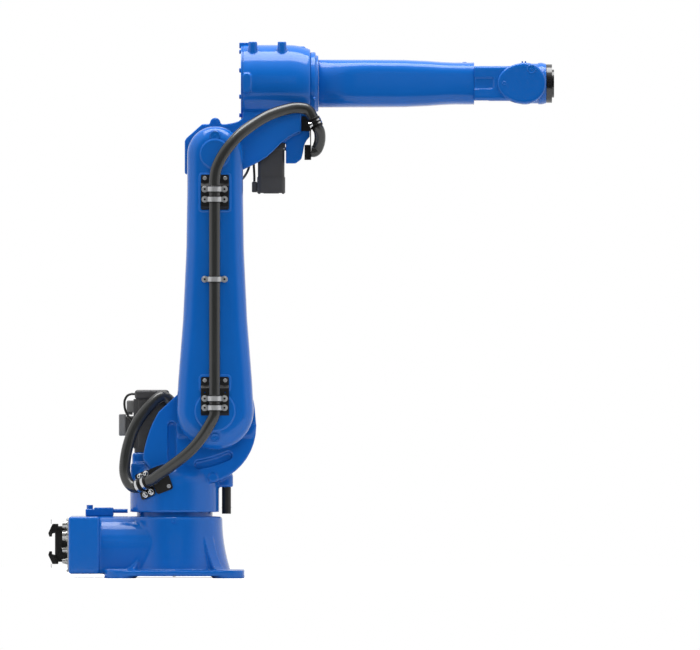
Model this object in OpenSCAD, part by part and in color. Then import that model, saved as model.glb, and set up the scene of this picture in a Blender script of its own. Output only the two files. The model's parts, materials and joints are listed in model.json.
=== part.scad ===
// Six-axis industrial robot arm with an external dress hose.
// Frame: Z up from the floor, X forward along the forearm, Y towards the motor side.
// The origin is on the floor, on the turning axis of the base. Millimetres.

/* [Reach] */
// Forward offset of the shoulder axis from the turning axis
axis2_x = 116; // [105:1:130]
// Height of the shoulder axis over the floor
axis2_z = 475; // [465:1:500]
// Length of the lower arm between its two axes
lower_arm_l = 731; // [680:1:860]
// Rise of the forearm axis over the elbow axis
elbow_rise = 202; // [196:1:215]
// Forward reach from the elbow axis to the wrist axis
forearm_l = 882; // [840:1:1000]
// Reach from the wrist axis to the tool face
tool_l = 83; // [80:1:90]

/* [Base] */
// Height of the base
base_h = 175; // [170:1:180]
// Radius of the pedestal at its top
pedestal_r = 136; // [130:1:140]
// Extra radius of the pedestal at its foot
pedestal_flare = 23; // [12:1:30]
// Pitch of the four floor bolts
bolt_pitch = 306; // [300:1:320]
// Diameter of a floor bolt hole
floor_bolt_d = 18; // [12:1:22]
// Radius of a foot pad
pad_r = 46; // [42:1:50]
// Height of a foot pad
pad_h = 23; // [20:1:28]
// Thickness of the foot plate
plate_t = 16; // [12:1:18]
// Distance from the turning axis to the back of the cable box
box_back = 301; // [290:1:320]
// Length of the cable box
box_l = 88; // [70:1:100]
// Width of the cable box
box_w = 300; // [280:1:320]
// Width of the neck between pedestal and cable box
neck_w = 252; // [240:1:268]
// Radius of the bearing ring under the turntable
base_ring_r = 108; // [100:1:110]
// Height of the bearing ring under the turntable
base_ring_h = 19; // [17:1:22]

/* [Turntable] */
// Radius of the turntable drum
drum_r = 127; // [124:1:130]
// Height of the drum top over the floor
drum_top = 330; // [325:1:340]
// Rounding of the drum's top edge
drum_round = 68; // [50:1:70]
// Distance from the arm plane's centre to the shoulder's near face
shoulder_near = 85; // [80:1:90]
// Thickness of the shoulder's near plate
shoulder_t = 40; // [32:1:42]
// Distance from the centre to the shoulder's motor face
shoulder_far = 60; // [50:1:70]
// Radius of the shoulder hub
hub_r = 113; // [108:1:118]
// Radius of the drum's stop pin
stop_pin_r = 13; // [9:1:15]
// Radius of the circle that the stop pin runs on
stop_pin_orbit = 147.5; // [146:0.5:150]

/* [Lower arm] */
// Gap between the shoulder and elbow faces and the lower arm
arm_gap = 10; // [8:1:14]
// Thickness of the lower arm
arm_t = 95; // [80:1:105]
// Radius of the lower arm's shoulder end
arm_low_r = 110; // [100:1:112]
// Radius of the lower arm's elbow end
arm_high_r = 79.5; // [76:0.5:84]
// Rounding of the lower arm's outer edge
arm_round = 40; // [20:1:40]
// Radius of the cover disc over the shoulder axis
low_disc_r = 54; // [45:1:58]
// Radius of the cover disc over the elbow axis
high_disc_r = 39; // [32:1:42]

/* [Elbow] */
// Radius of the elbow barrel
barrel_r = 110; // [104:1:112]
// Distance from the elbow axis forward to the barrel's rear face
barrel_back = 73; // [70:1:80]
// Length of the elbow barrel
barrel_l = 198; // [190:1:205]
// Radius of the barrel's front end
barrel_front_r = 97; // [92:1:100]
// Pitch of the four top bosses along the forearm
boss_pitch_x = 83; // [75:1:90]
// Pitch of the four top bosses across the forearm
boss_pitch_y = 116; // [100:1:124]
// Height of the top bosses over the forearm axis
boss_top = 118.5; // [116:0.5:122]
// Diameter of the threaded hole in a top boss
boss_hole_d = 8; // [5:0.5:10]

/* [Forearm and wrist] */
// Radius of the forearm at its rear end
forearm_r = 68; // [64:1:72]
// Half height of the forearm at its front end
forearm_tip_h = 60; // [56:1:64]
// Half width of the forearm at its front end
forearm_tip_w = 84; // [80:1:88]
// Half width of the forearm at its root
forearm_root_w = 50; // [46:1:60]
// Distance from the wrist axis back to the forearm's front end
neck_back = 145; // [140:1:160]
// Half height of the neck in front of the forearm
neck_h = 49; // [44:1:52]
// Radius of the fork cheeks around the wrist axis
cheek_r = 59; // [56:1:62]
// Half width of the fork over its cheeks
fork_w = 88; // [86:1:92]
// Half width of the gap between the fork cheeks
fork_gap = 66; // [64:1:68]
// Radius of the wrist housing
wrist_r = 57; // [54:1:58]
// Half width of the wrist housing
wrist_w = 60; // [56:1:61]
// Radius of the black ring behind the tool flange
flange_ring_r = 55; // [50:1:56]
// Radius of the tool flange
flange_r = 40; // [38:1:44]
// Bolt circle of the tool flange
flange_pcd = 63; // [58:1:66]
// Diameter of the tool flange's threaded holes
flange_hole_d = 6; // [5:0.5:8]
// Diameter of the tool flange's centring bore
pilot_d = 40; // [30:1:42]

/* [Motors and hose] */
// Frame size of the turning motor
motor1_w = 100; // [90:1:104]
// Frame size of the shoulder motor
motor2_w = 130; // [110:1:132]
// Frame size of the elbow motor
motor3_w = 100; // [90:1:110]
// Frame size of the forearm's turning motor
motor4_w = 80; // [70:1:82]
// Outer diameter of the dress hose
hose_d = 32; // [24:1:34]
// Width of a hose clamp band
clamp_w = 13.6; // [10:0.2:16]
// Distance from the hose centre to a clamp's screw
clamp_ear = 28; // [26:1:30]

/* [Hidden] */

$fn = 64;
paint = "#1f62c4";
black = "#2b2b2d";
dark = "#404042";
steel = "#c4c6c8";
rubber = "#3c3c3c";
beige = "#cfcbbf";

// Running gap at the bearings, and seat gap of a piece in a recess
seat = 0.3;
// Gap that lets a piece be sunk into a casting all round
bore_gap = 0.3;
fillet_steps = 5;

axis3_z = axis2_z + lower_arm_l;
axis4_z = axis3_z + elbow_rise;
axis5_x = axis2_x + forearm_l;
tool_x = axis5_x + tool_l;
ring_top = base_h + base_ring_h;
arm_far = -(shoulder_near + arm_gap);
arm_near = arm_far - arm_t;
barrel_x = axis2_x + barrel_back;
barrel_end = barrel_x + barrel_l;

// Two-dimensional helpers
function arc(c, r, a0, a1, n) =
    [for (i = [0:n]) let (a = a0 + (a1 - a0) * i / n) c + r * [cos(a), sin(a)]];
function unit(v) = v / norm(v);
// Outward normal at a point of a closed outline that runs anticlockwise
function outward(p, i) =
    let (n = len(p), d = p[(i + 1) % n] - p[(i + n - 1) % n]) unit([d[1], -d[0]]);
function inset(p, d) = [for (i = [0:len(p) - 1]) p[i] - d * outward(p, i)];
function reversed(p) = [for (i = [len(p) - 1:-1:0]) p[i]];
function moved(p, by) = [for (q = p) q + by];

module rounded_rect(lo, hi, r) {
    translate(lo + [r, 0]) square(hi - lo - [2 * r, 0]);
    translate(lo + [0, r]) square(hi - lo - [0, 2 * r]);
    for (x = [lo[0] + r, hi[0] - r], y = [lo[1] + r, hi[1] - r]) translate([x, y]) circle(r);
}

// Extrusions of an outline drawn in the named plane
module along_y(y0, y1) {
    translate([0, y1, 0]) rotate([90, 0, 0]) linear_extrude(y1 - y0) children();
}
module along_x(x0, x1) {
    translate([x0, 0, 0]) rotate([90, 0, 90]) linear_extrude(x1 - x0) children();
}
module rod_x(x0, x1, r) { translate([x0, 0, 0]) rotate([0, 90, 0]) cylinder(r = r, h = x1 - x0); }
module rod_y(y0, y1, r) { translate([0, y1, 0]) rotate([90, 0, 0]) cylinder(r = r, h = y1 - y0); }

// A block between two corners with all twelve edges rounded
module soft_block(lo, hi, r) {
    intersection() {
        translate([0, 0, lo[2]]) linear_extrude(hi[2] - lo[2])
            rounded_rect([lo[0], lo[1]], [hi[0], hi[1]], r);
        along_y(lo[1], hi[1]) rounded_rect([lo[0], lo[2]], [hi[0], hi[2]], r);
        along_x(lo[0], hi[0]) rounded_rect([lo[1], lo[2]], [hi[1], hi[2]], r);
    }
}

// A skin over rings of points that run anticlockwise seen from the last ring
module loft(rings) {
    n = len(rings[0]);
    m = len(rings);
    polyhedron(
        points = [for (ring = rings) each ring],
        faces = concat(
            [[for (i = [0:n - 1]) i]],
            [[for (i = [n - 1:-1:0]) (m - 1) * n + i]],
            [for (k = [0:m - 2], i = [0:n - 1]) each let (a = k * n + i, b = k * n + (i + 1) % n)
                [[a, a + n, b + n], [a, b + n, b]]]));
}

// A plate in the XZ plane whose edges are rounded: r_far at y_far and r_near at y_near
function xz_ring(p, y) = [for (q = p) [q[0], y, q[1]]];
function pillow_rings(p, y_far, y_near, r_far, r_near) = concat(
    [for (i = [0:fillet_steps - 1]) let (a = 90 * i / fillet_steps)
        xz_ring(inset(p, r_far * (1 - sin(a))), y_far - r_far * (1 - cos(a)))],
    [xz_ring(p, y_far - r_far), xz_ring(p, y_near + r_near)],
    [for (i = [1:fillet_steps]) let (a = 90 * i / fillet_steps)
        xz_ring(inset(p, r_near * (1 - cos(a))), y_near + r_near * (1 - sin(a)))]);
module pillow(p, y_far, y_near, r_far, r_near) {
    loft(pillow_rings(p, y_far, y_near, r_far, r_near));
}

// A tube swept along a route of points that never runs along Y
tube_sides = 10;
function route_tangent(p, i) = unit(p[min(i + 1, len(p) - 1)] - p[max(i - 1, 0)]);
module tube(p, d) {
    loft([for (i = [0:len(p) - 1])
        let (t = route_tangent(p, i), u = unit(cross([0, 1, 0], t)), v = cross(t, u))
        [for (k = [0:tube_sides - 1]) let (a = 360 * k / tube_sides)
            p[i] + d / 2 * (cos(a) * u + sin(a) * v)]]);
}

// Base

plate_z = 6;
plate_half = bolt_pitch / 2 + pad_r;
pedestal_round = 9;
flare_steps = 8;
foot_r = pedestal_r + pedestal_flare;
flare_top = base_h - pedestal_round;
flare_low = plate_z + plate_t;
pedestal_profile = concat(
    [[0, plate_z], [foot_r, plate_z]],
    [for (i = [0:flare_steps]) let (t = i / flare_steps)
        [pedestal_r + pedestal_flare * pow(1 - t, 2), flare_low + (flare_top - flare_low) * t]],
    arc([pedestal_r - pedestal_round, flare_top], pedestal_round, 15, 90, 5),
    [[0, base_h]]);
box_bottom = 12;
box_round = 8;
neck_round = 86;
rib_w = 36;
rib_h = 128;

module base_neck() {
    along_x(-box_back + box_l / 2, 0) polygon(concat(
        [[-neck_w / 2, box_bottom], [neck_w / 2, box_bottom]],
        arc([neck_w / 2 - neck_round, base_h - neck_round], neck_round, 0, 90, 8),
        arc([-neck_w / 2 + neck_round, base_h - neck_round], neck_round, 90, 180, 8)));
}

// Swept rib from the pedestal wall down to a foot pad
module base_rib() {
    reach = norm([bolt_pitch, bolt_pitch]) / 2 - floor_bolt_d;
    rise = rib_h - pad_h;
    run = reach - pedestal_r;
    rotate([90, 0, 0]) linear_extrude(rib_w, center = true) polygon(concat(
        [[0, plate_z], [reach, plate_z]],
        [for (i = [0:6]) let (t = i / 6) [reach - run * t, pad_h - plate_z / 2 + rise * t * t]],
        [[0, rib_h]]));
}

module base_casting() color(paint) difference() {
    union() {
        rotate_extrude() polygon(pedestal_profile);
        translate([0, 0, plate_z]) linear_extrude(plate_t)
            rounded_rect([-plate_half, -plate_half], [plate_half, plate_half], pad_r);
        for (x = [-1, 1], y = [-1, 1])
            translate([x, y, 0] * bolt_pitch / 2) cylinder(r = pad_r, h = pad_h);
        for (a = [45:90:315]) rotate(a) base_rib();
        base_neck();
        soft_block([-box_back, -box_w / 2, box_bottom], [-box_back + box_l, box_w / 2, base_h], box_round);
    }
    for (x = [-1, 1], y = [-1, 1])
        translate([x * bolt_pitch / 2, y * bolt_pitch / 2, -1]) cylinder(d = floor_bolt_d, h = rib_h + 2);
    for (x = [-1, 1], y = [-1, 1])
        translate([x * bolt_pitch / 2, y * bolt_pitch / 2, pad_h]) cylinder(d = 2 * floor_bolt_d, h = rib_h);
}

module base_bearing_ring() color(paint)
    translate([0, 0, base_h]) cylinder(r = base_ring_r, h = base_ring_h);

panel_t = 3;
panel_w = box_w - 50;
panel_margin = 6;
panel_x = -box_back - panel_t;
module connector_panel() color(beige)
    along_x(panel_x, -box_back)
        rounded_rect([-panel_w / 2, box_bottom + panel_margin], [panel_w / 2, base_h - panel_margin], 6);

plug_l = 37;
plug_w = 56;
plug_z = 45;
plug_h = 102;
module power_connector() color(black) {
    soft_block([panel_x - plug_l, -plug_w / 2, plug_z], [panel_x - 10, plug_w / 2, plug_z + plug_h], 5);
    soft_block([panel_x - 12, -plug_w / 2 - 6, plug_z - 5],
        [panel_x, plug_w / 2 + 6, plug_z + plug_h + 5], 2);
}

// Two spring levers that lock the plug at its top and bottom
lever_t = 4;
lever_reach = 20;
module lever_outline() {
    polygon([[2, -14], [10, -18], [plug_l - 8, -6], [plug_l + lever_reach, 6], [plug_l + lever_reach, 22],
        [plug_l + lever_reach - 7, 22], [plug_l + lever_reach - 7, 12], [plug_l - 12, 12], [6, 0]]);
}
module lever() {
    for (y = [-plug_w / 2 - lever_t - 6 - seat, plug_w / 2 + 6 + seat])
        along_y(y, y + lever_t) mirror([1, 0]) lever_outline();
    translate([-plug_l - lever_reach + 1, 0, 17]) rod_y(-plug_w / 2 - 8, plug_w / 2 + 8, 3.4);
}
module connector_levers() color(black) {
    translate([panel_x, 0, plug_z + plug_h - 18]) lever();
    translate([panel_x, 0, plug_z + 18]) mirror([0, 0, 1]) lever();
}

socket_y = -panel_w / 2 + 32;
socket_l = 15;
// Round sockets: side of the panel, depth under the top of the cable box, radius
sockets = [[1, 24, 9.2], [1, 55, 13.5], [1, 95, 6], [1, 127, 6], [-1, 55, 13.5], [-1, 95, 9.2]];
module socket(r) {
    rod_x(panel_x - 5, panel_x, r + 3);
    rod_x(panel_x - socket_l, panel_x - 5, r);
    rod_x(panel_x - socket_l + 3, panel_x - socket_l + 7, r + 1.2);
}
module round_connectors() color(steel)
    for (s = sockets) translate([0, s[0] * socket_y, base_h - s[1]]) socket(s[2]);

stop_rod_r = 5.75;
stop_block_h = 25;
stop_block_w = 50;
module axis1_stop_block() color(paint) {
    soft_block([-230, -stop_block_w / 2, base_h], [-174, stop_block_w / 2, base_h + stop_block_h], 4);
    soft_block([-254, -stop_block_w / 2, base_h], [-226, stop_block_w / 2, base_h + stop_block_h - 4], 4);
    translate([-242, 0, base_h + stop_block_h - 5]) cylinder(r = 9, h = 12, $fn = 6);
    translate([0, 0, base_h + 15]) rod_x(-180, -drum_r - 7, stop_rod_r);
}

// Turntable

skirt_gap = 4;
skirt_drop = 7;
drum_profile = concat(
    [[0, ring_top + seat], [base_ring_r + skirt_gap, ring_top + seat],
        [base_ring_r + skirt_gap, ring_top - skirt_drop], [drum_r, ring_top - skirt_drop]],
    arc([drum_r - drum_round, drum_top - drum_round], drum_round, 0, 90, 10),
    [[0, drum_top]]);

// Sail, hub and front sweep of the shoulder in one outline round the shoulder axis
axis2 = [axis2_x, axis2_z];
front_arc_r = 165;
front_arc_c = axis2 + [-48, -44];
sail_r = 330;
sail_c = axis2 + [122, -172];
shoulder_outline = concat(
    arc(front_arc_c, front_arc_r, -100, 0, 12),
    arc(axis2, hub_r, 4, 150, 14),
    arc(sail_c, sail_r, 149, 174, 8),
    [[-drum_r + drum_round + 4, drum_top - 40], [0, drum_top - 90]]);

slot_c = axis2 + [-97, 160];
slot_orbit = 317;
slot_r = 11.4;
pocket_depth = 12;
pocket_x = axis2_x - 123;
pocket_r = 12;
pocket_l = 90;
module shoulder_pockets() along_y(-shoulder_near - 10, -shoulder_near + pocket_depth) {
    polygon(concat(
        arc(slot_c, slot_orbit + slot_r, -81, -65, 8),
        arc(slot_c + slot_orbit * [cos(65), -sin(65)], slot_r, -65, 115, 8),
        arc(slot_c, slot_orbit - slot_r, -65, -81, 8),
        arc(slot_c + slot_orbit * [cos(81), -sin(81)], slot_r, 99, 279, 8)));
    translate([pocket_x - pocket_r, drum_top + 12]) square([2 * pocket_r, pocket_l]);
    for (z = [0, pocket_l]) translate([pocket_x, drum_top + 12 + z]) circle(pocket_r);
}

motor1_x = -65;
motor1_y = 35;
mount_top = drum_top + 27;
front_boss_x = stop_pin_orbit - 2.5;
front_boss_r = 21.5;
front_boss_root = 90;
front_boss_low = drum_top - 72;
front_boss_h = 34;
shoulder_boss_r = 95;
lug_t = 4;
web_x0 = axis2_x - 86;
web_x1 = axis2_x + 74;

module stop_lugs() intersection() {
    along_y(-shoulder_near - lug_t, -shoulder_near + 2) difference() {
        translate([axis2_x - 118, axis2_z - 72]) square([236, 34]);
        translate(axis2) circle(arm_low_r - 16);
    }
    along_y(-shoulder_near - lug_t, -shoulder_near + 2) translate(axis2) circle(hub_r + 12);
}

module turntable_casting() color(paint) difference() {
    union() {
        rotate_extrude() polygon(drum_profile);
        along_y(-shoulder_near, -shoulder_near + shoulder_t) polygon(shoulder_outline);
        along_y(-shoulder_near + shoulder_t - 2, shoulder_far) {
            translate(axis2) circle(shoulder_boss_r);
            intersection() {
                polygon(shoulder_outline);
                translate([web_x0, drum_top - 60]) square([web_x1 - web_x0, axis2_z - drum_top + 60]);
            }
        }
        soft_block([motor1_x - motor1_w / 2 - 6, motor1_y - motor1_w / 2 - 6, drum_top - 60],
            [motor1_x + motor1_w / 2 + 6, motor1_y + motor1_w / 2 + 6, mount_top], 10);
        soft_block([2 - drum_r, -shoulder_near + shoulder_t - 5, drum_top - 80],
            [motor1_x, motor1_y + motor1_w / 2 + 6, drum_top - 2], 10);
        translate([front_boss_x, 0, front_boss_low]) cylinder(r = front_boss_r, h = front_boss_h);
        translate([front_boss_root, -front_boss_r, front_boss_low])
            cube([front_boss_x - front_boss_root, 2 * front_boss_r, front_boss_h]);
        translate([axis2_x - 6, 0, axis2_z - 190]) rod_y(-shoulder_near - 5, -40, 13);
        stop_lugs();
    }
    shoulder_pockets();
}

motor_flange_h = 13;
motor1_l = 151;
motor1_top = mount_top + motor1_l;
module motor_fins(w, z0, z1, n) {
    fin = (z1 - z0) / (2 * n);
    for (i = [0:n - 1]) translate([0, 0, z0 + 2 * fin * i + fin / 2])
        linear_extrude(fin) difference() {
            square(w + 2, center = true);
            square(w - 10, center = true);
            for (a = [0:90:270]) rotate(a + 45) translate([w * 0.7, 0]) square(w * 0.34, center = true);
        }
}
module axis1_motor_body() color(dark) translate([motor1_x, motor1_y, mount_top]) {
    linear_extrude(motor_flange_h)
        rounded_rect([-motor1_w / 2, -motor1_w / 2], [motor1_w / 2, motor1_w / 2], 8);
    translate([0, 0, motor_flange_h]) linear_extrude(motor1_top - mount_top - motor_flange_h)
        rounded_rect([4 - motor1_w / 2, 4 - motor1_w / 2], [motor1_w / 2 - 4, motor1_w / 2 - 4], 14);
    motor_fins(motor1_w - 6, motor_flange_h + 30, motor1_top - mount_top - 10, 6);
}
cap_h = 27;
module axis1_motor_cap() color(dark)
    soft_block([motor1_x - motor1_w / 2 + 1, motor1_y - motor1_w / 2 + 1, motor1_top],
        [motor1_x + motor1_w / 2 - 1, motor1_y + motor1_w / 2 - 1, motor1_top + cap_h], 9);

motor1_side = motor1_x - motor1_w / 2 + 2 - seat;
module axis1_motor_connectors() color(dark) {
    soft_block([motor1_side - 24, motor1_y - 20, motor1_top - 38],
        [motor1_side, motor1_y + 20, motor1_top - 3], 5);
    soft_block([motor1_side - 46, motor1_y - 24, motor1_top - 104],
        [motor1_side - 26, motor1_y + 24, motor1_top - 42], 4);
    soft_block([motor1_side - 28, motor1_y - 12, motor1_top - 68],
        [motor1_side, motor1_y + 12, motor1_top - 48], 3);
    translate([motor1_side - 15, motor1_y, motor1_top - 44]) cylinder(r = 8, h = 8);
}

// Thin lead from the side of the motor's cap down to its body, measured from the cap
lead_d = 7;
lead1_start = [motor1_x - motor1_w / 2 + 1 - seat, motor1_y - 25, motor1_top + 15];
lead1_route = moved([[0, 0, 0], [-10, -1, 0], [-21, -2, -5], [-28, -3, -17], [-29, -4, -31], [-26, -5, -47],
    [-18, -6, -63], [-9, -6, -75], [-3, -6, -81], [1, -6, -83]], lead1_start);
module axis1_motor_lead() color(rubber) tube(lead1_route, lead_d);

pin_low = ring_top - 12;
module axis1_stop_pin() color(black)
    translate([stop_pin_orbit, 0, pin_low]) cylinder(r = stop_pin_r, h = front_boss_low - pin_low);

// Square servo motor along Z with a flange, a finned body and a narrower encoder cap
module servo(w, l, cap_l, n) {
    margin = 4;
    linear_extrude(motor_flange_h) rounded_rect([-w / 2, -w / 2], [w / 2, w / 2], 8);
    linear_extrude(l) rounded_rect([margin - w / 2, margin - w / 2], [w / 2 - margin, w / 2 - margin], 14);
    motor_fins(w - 2 * margin, 3 * motor_flange_h, l - motor_flange_h, n);
    translate([0, 0, l]) linear_extrude(cap_l)
        rounded_rect([2 * margin - w / 2, 2 * margin - w / 2], [w / 2 - 2 * margin, w / 2 - 2 * margin], 12);
}
motor2_l = 170;
motor2_cap_l = 36;
module axis2_motor() color(dark)
    translate([axis2_x, shoulder_far, axis2_z]) rotate([-90, 0, 0])
        servo(motor2_w, motor2_l, motor2_cap_l, 7);

low_ring_r = 80;
module axis2_bearing_ring() color(steel)
    translate([axis2_x, 0, axis2_z]) rod_y(arm_far + seat, -shoulder_near, low_ring_r);

// Saddle clamp: a band over the hose with two screwed ears, seated on a plate at the origin
// plane. The hose runs along Z at a height of hose_seat over the plate, towards -Y.
liner = 2;
band_t = 2;
hose_seat = hose_d / 2 + liner;
ear_r = 9.5;
module saddle_clamp() {
    outer = hose_seat + band_t;
    translate([0, 0, -clamp_w / 2]) linear_extrude(clamp_w) difference() {
        union() {
            translate([0, -hose_seat]) circle(outer);
            translate([-outer, -hose_seat]) square([2 * outer, hose_seat]);
            translate([-clamp_ear, -3]) square([2 * clamp_ear, 3]);
        }
        translate([0, -hose_seat]) circle(hose_d / 2 + seat);
        translate([-hose_d / 2 - seat, -hose_seat]) square([hose_d + 2 * seat, 2 * hose_seat]);
    }
    for (x = [-clamp_ear, clamp_ear]) translate([x, 0, 0]) {
        rod_y(-3, 0, ear_r);
        translate([0, -3, 0]) rotate([90, 0, 0]) cylinder(r = 6, h = 4, $fn = 6);
    }
}

bracket_t = 3;
bracket_tilt = 20;
bracket_turn = -36.5;
bracket_seat_r = drum_r + 8;
bracket_h = 38;
// The bracket's foot, folded back against the drum
foot_turn = bracket_turn + 25.7;
foot_rise = 20;
drum_clamp_z = drum_top - 63;
drum_clamp_pitch = 22;
// Frame on the drum's side at a turn about its axis: X along the tilted hose, -Y away from the drum
module on_drum(turn, r, z) {
    rotate([0, 0, turn]) translate([0, -r, z]) rotate([0, -bracket_tilt, 0]) children();
}
module turntable_hose_bracket() color(black) difference() {
    union() {
        on_drum(bracket_turn, bracket_seat_r, drum_clamp_z)
            along_y(0, bracket_t) rounded_rect([-30, -bracket_h], [20.5, bracket_h], 6);
        on_drum(foot_turn, drum_r + bracket_t, drum_clamp_z + foot_rise) {
            along_y(0, bracket_t) rounded_rect([-41, -bracket_h], [10, bracket_h], 8);
            translate([-24, 0, -20]) cube([24, 20, 40]);
        }
    }
    translate([0, 0, ring_top]) cylinder(r = drum_r + seat, h = drum_top);
}
module turntable_hose_clamps() color(steel)
    for (s = [-1, 1]) on_drum(bracket_turn, bracket_seat_r, drum_clamp_z)
        translate([s * drum_clamp_pitch / 2, 0, 0]) rotate([0, 90, 0]) saddle_clamp();

// Lower arm

bracket_rise = 12;
arm_hose_y = arm_near - bracket_rise - hose_seat;
// Stations along the lower arm: share of its length, half width
waist = [[0.12, 105], [0.354, 91.5], [0.628, 82], [0.855, arm_high_r]];
arm_outline = concat(
    arc(axis2, arm_low_r, 180, 360, 20),
    [for (w = waist) axis2 + [w[1], w[0] * lower_arm_l]],
    arc([axis2_x, axis3_z], arm_high_r, 0, 180, 16),
    [for (w = reversed(waist)) axis2 + [-w[1], w[0] * lower_arm_l]]);
high_plug_r = 14;
low_plug_r = 11;
high_plug_z = axis3_z + 52;
low_plug_z = axis2_z - 74;
plug_sink = 12;
module lower_arm_casting() color(paint) difference() {
    pillow(arm_outline, arm_far, arm_near, 5, arm_round);
    translate([axis2_x, 0, high_plug_z]) rod_y(arm_near - 1, arm_near + plug_sink, high_plug_r + bore_gap);
    translate([axis2_x, 0, low_plug_z]) rod_y(arm_near - 1, arm_near + plug_sink, low_plug_r + bore_gap);
}
module lower_arm_plugs() color(paint) {
    translate([axis2_x, 0, high_plug_z]) rod_y(arm_near + 2, arm_near + plug_sink - seat, high_plug_r);
    translate([axis2_x, 0, low_plug_z]) rod_y(arm_near + 1, arm_near + plug_sink - seat, low_plug_r);
}
disc_t = 4;
disc_round = 3;
module cover_disc(r) {
    rotate([90, 0, 0]) rotate_extrude() polygon(concat(
        [[0, 0], [r, 0]], arc([r - disc_round, disc_t - disc_round], disc_round, 0, 90, 5), [[0, disc_t]]));
}
module shoulder_cover_disc() color(paint) translate([axis2_x, arm_near, axis2_z]) cover_disc(low_disc_r);
module elbow_cover_disc() color(paint) translate([axis2_x, arm_near, axis3_z]) cover_disc(high_disc_r);

// Hat-shaped clamp bracket: a foot on the arm and a raised platform
arm_bracket_w = 80;
foot_l = 24;
joggle = 8;
lip = 2;
bracket_round = 5;
bracket_hole_x = 29;
bracket_hole_r = 2;
module arm_bracket(l) {
    rise = bracket_rise;
    top = l / 2;
    fold = top - foot_l;
    difference() {
        intersection() {
            along_x(-arm_bracket_w / 2, arm_bracket_w / 2) polygon([
                [0, top], [-bracket_t, top], [-bracket_t, fold], [-rise, fold - joggle],
                [-rise, lip + joggle - top], [-bracket_t, lip - top], [-bracket_t, -top], [0, -top],
                [0, 2 * lip - top], [bracket_t - rise, 2 * lip + joggle - top],
                [bracket_t - rise, fold - joggle - bracket_t / 2], [0, fold - bracket_t / 2]]);
            along_y(-2 * rise, rise)
                rounded_rect([-arm_bracket_w / 2, -top], [arm_bracket_w / 2, top], bracket_round);
        }
        for (x = [-1, 1]) translate([x * bracket_hole_x, 0, fold - 20])
            rod_y(-2 * rise, rise, bracket_hole_r);
    }
}
upper_bracket_z = axis3_z - 109;
upper_bracket_l = 100;
lower_bracket_z = axis2_z + 41;
lower_bracket_l = 113;
module upper_hose_bracket() color(black)
    translate([axis2_x, arm_near, upper_bracket_z]) arm_bracket(upper_bracket_l);
module lower_hose_bracket() color(black) difference() {
    translate([axis2_x, arm_near, lower_bracket_z]) arm_bracket(lower_bracket_l);
    translate([axis2_x, 0, axis2_z]) rod_y(arm_near - disc_t - seat, arm_near + 1, low_disc_r + bore_gap);
}
middle_clamp_share = 0.513;
middle_clamp_z = axis2_z + middle_clamp_share * lower_arm_l;
clamp_heights = [upper_bracket_z + 9, upper_bracket_z - 20, lower_bracket_z - 5, lower_bracket_z - 31];
module lower_arm_hose_clamps() color(steel) {
    for (z = clamp_heights) translate([hose_x, arm_near - bracket_rise, z]) saddle_clamp();
    translate([hose_x, arm_near - bracket_rise, middle_clamp_z]) {
        saddle_clamp();
        for (x = [-clamp_ear, clamp_ear]) translate([x, 0, 0]) rod_y(0, bracket_rise, ear_r);
    }
}

// Elbow

axis3 = [axis2_x, axis3_z];
cover_t = 5;
barrel_taper = 62;
barrel_profile = concat(
    [[0, cover_t], [barrel_r, cover_t]],
    [for (i = [0:6]) let (t = i / 6)
        [barrel_r - (barrel_r - barrel_front_r) * t * t, barrel_l - barrel_taper * (1 - t)]],
    [[0, barrel_l]]);
elbow_hub_r = 90;
elbow_outline = concat(
    arc(axis3, elbow_hub_r, 222, 330, 10),
    [for (q = [[119, -25], [146, -8], [166, 10], [186, 30], [208, 48], [230, 60], [244, 65],
        [244, 120], [78, 120], [78, 102], [66, 94], [50, 89], [30, 86], [-37, 86], [-82, 46],
        [-87, 38], [-87, -56]]) axis3 + q]);
lift_boss_r = 15;
lift_boss_z = 89;
motor4_x = axis2_x + 159;
motor4_top = axis3_z + 20;
housing_w = 50;
housing_outline = [[201, -26], [229, -26], [245, -14], [250, 6], [253, 26], [260, 40], [269, 50],
    [269, 110], [201, 110]];
module elbow_boss(x, y) translate([x, y, axis4_z + boss_top - 60]) cylinder(r1 = 14.5, r2 = 12.6, h = 60);
boss_x0 = barrel_x + 34;

module elbow_casting() color(paint) difference() {
    union() {
        translate([barrel_x, 0, axis4_z]) rotate([0, 90, 0]) rotate_extrude() polygon(barrel_profile);
        along_y(-shoulder_near, -shoulder_near + shoulder_t) {
            polygon(elbow_outline);
            translate(axis3 + [0, lift_boss_z]) circle(lift_boss_r);
        }
        along_y(-shoulder_near + shoulder_t - 2, shoulder_far) intersection() {
            polygon(elbow_outline);
            translate(axis3 - [200, 200]) square([270, 400]);
        }
        translate([barrel_x + 8, -shoulder_near + shoulder_t - 2, motor4_top + 12])
            cube([163, 2 * (shoulder_near - shoulder_t) + 10, elbow_rise - 100]);
        along_y(-housing_w, housing_w) polygon([for (q = housing_outline) axis3 + q]);
        for (x = [boss_x0, boss_x0 + boss_pitch_x], y = [-1, 1]) elbow_boss(x, y * boss_pitch_y / 2);
        along_y(-barrel_r - 6, -barrel_r + 25)
            rounded_rect([barrel_x + cover_t, axis4_z - 28], [barrel_x + 28, axis4_z + 28], 9);
        translate([barrel_end - 48, -16, axis4_z + 60]) cube([31, 32, 46]);
    }
    for (x = [boss_x0, boss_x0 + boss_pitch_x], y = [-1, 1])
        translate([x, y * boss_pitch_y / 2, axis4_z + boss_top - 18]) cylinder(d = boss_hole_d, h = 20);
    translate([motor4_x, 0, motor4_top + 12]) translate([-motor4_w / 2 - 2, -motor4_w / 2 - 2, -60])
        cube([motor4_w + 4, motor4_w + 4, 60]);
}

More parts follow.
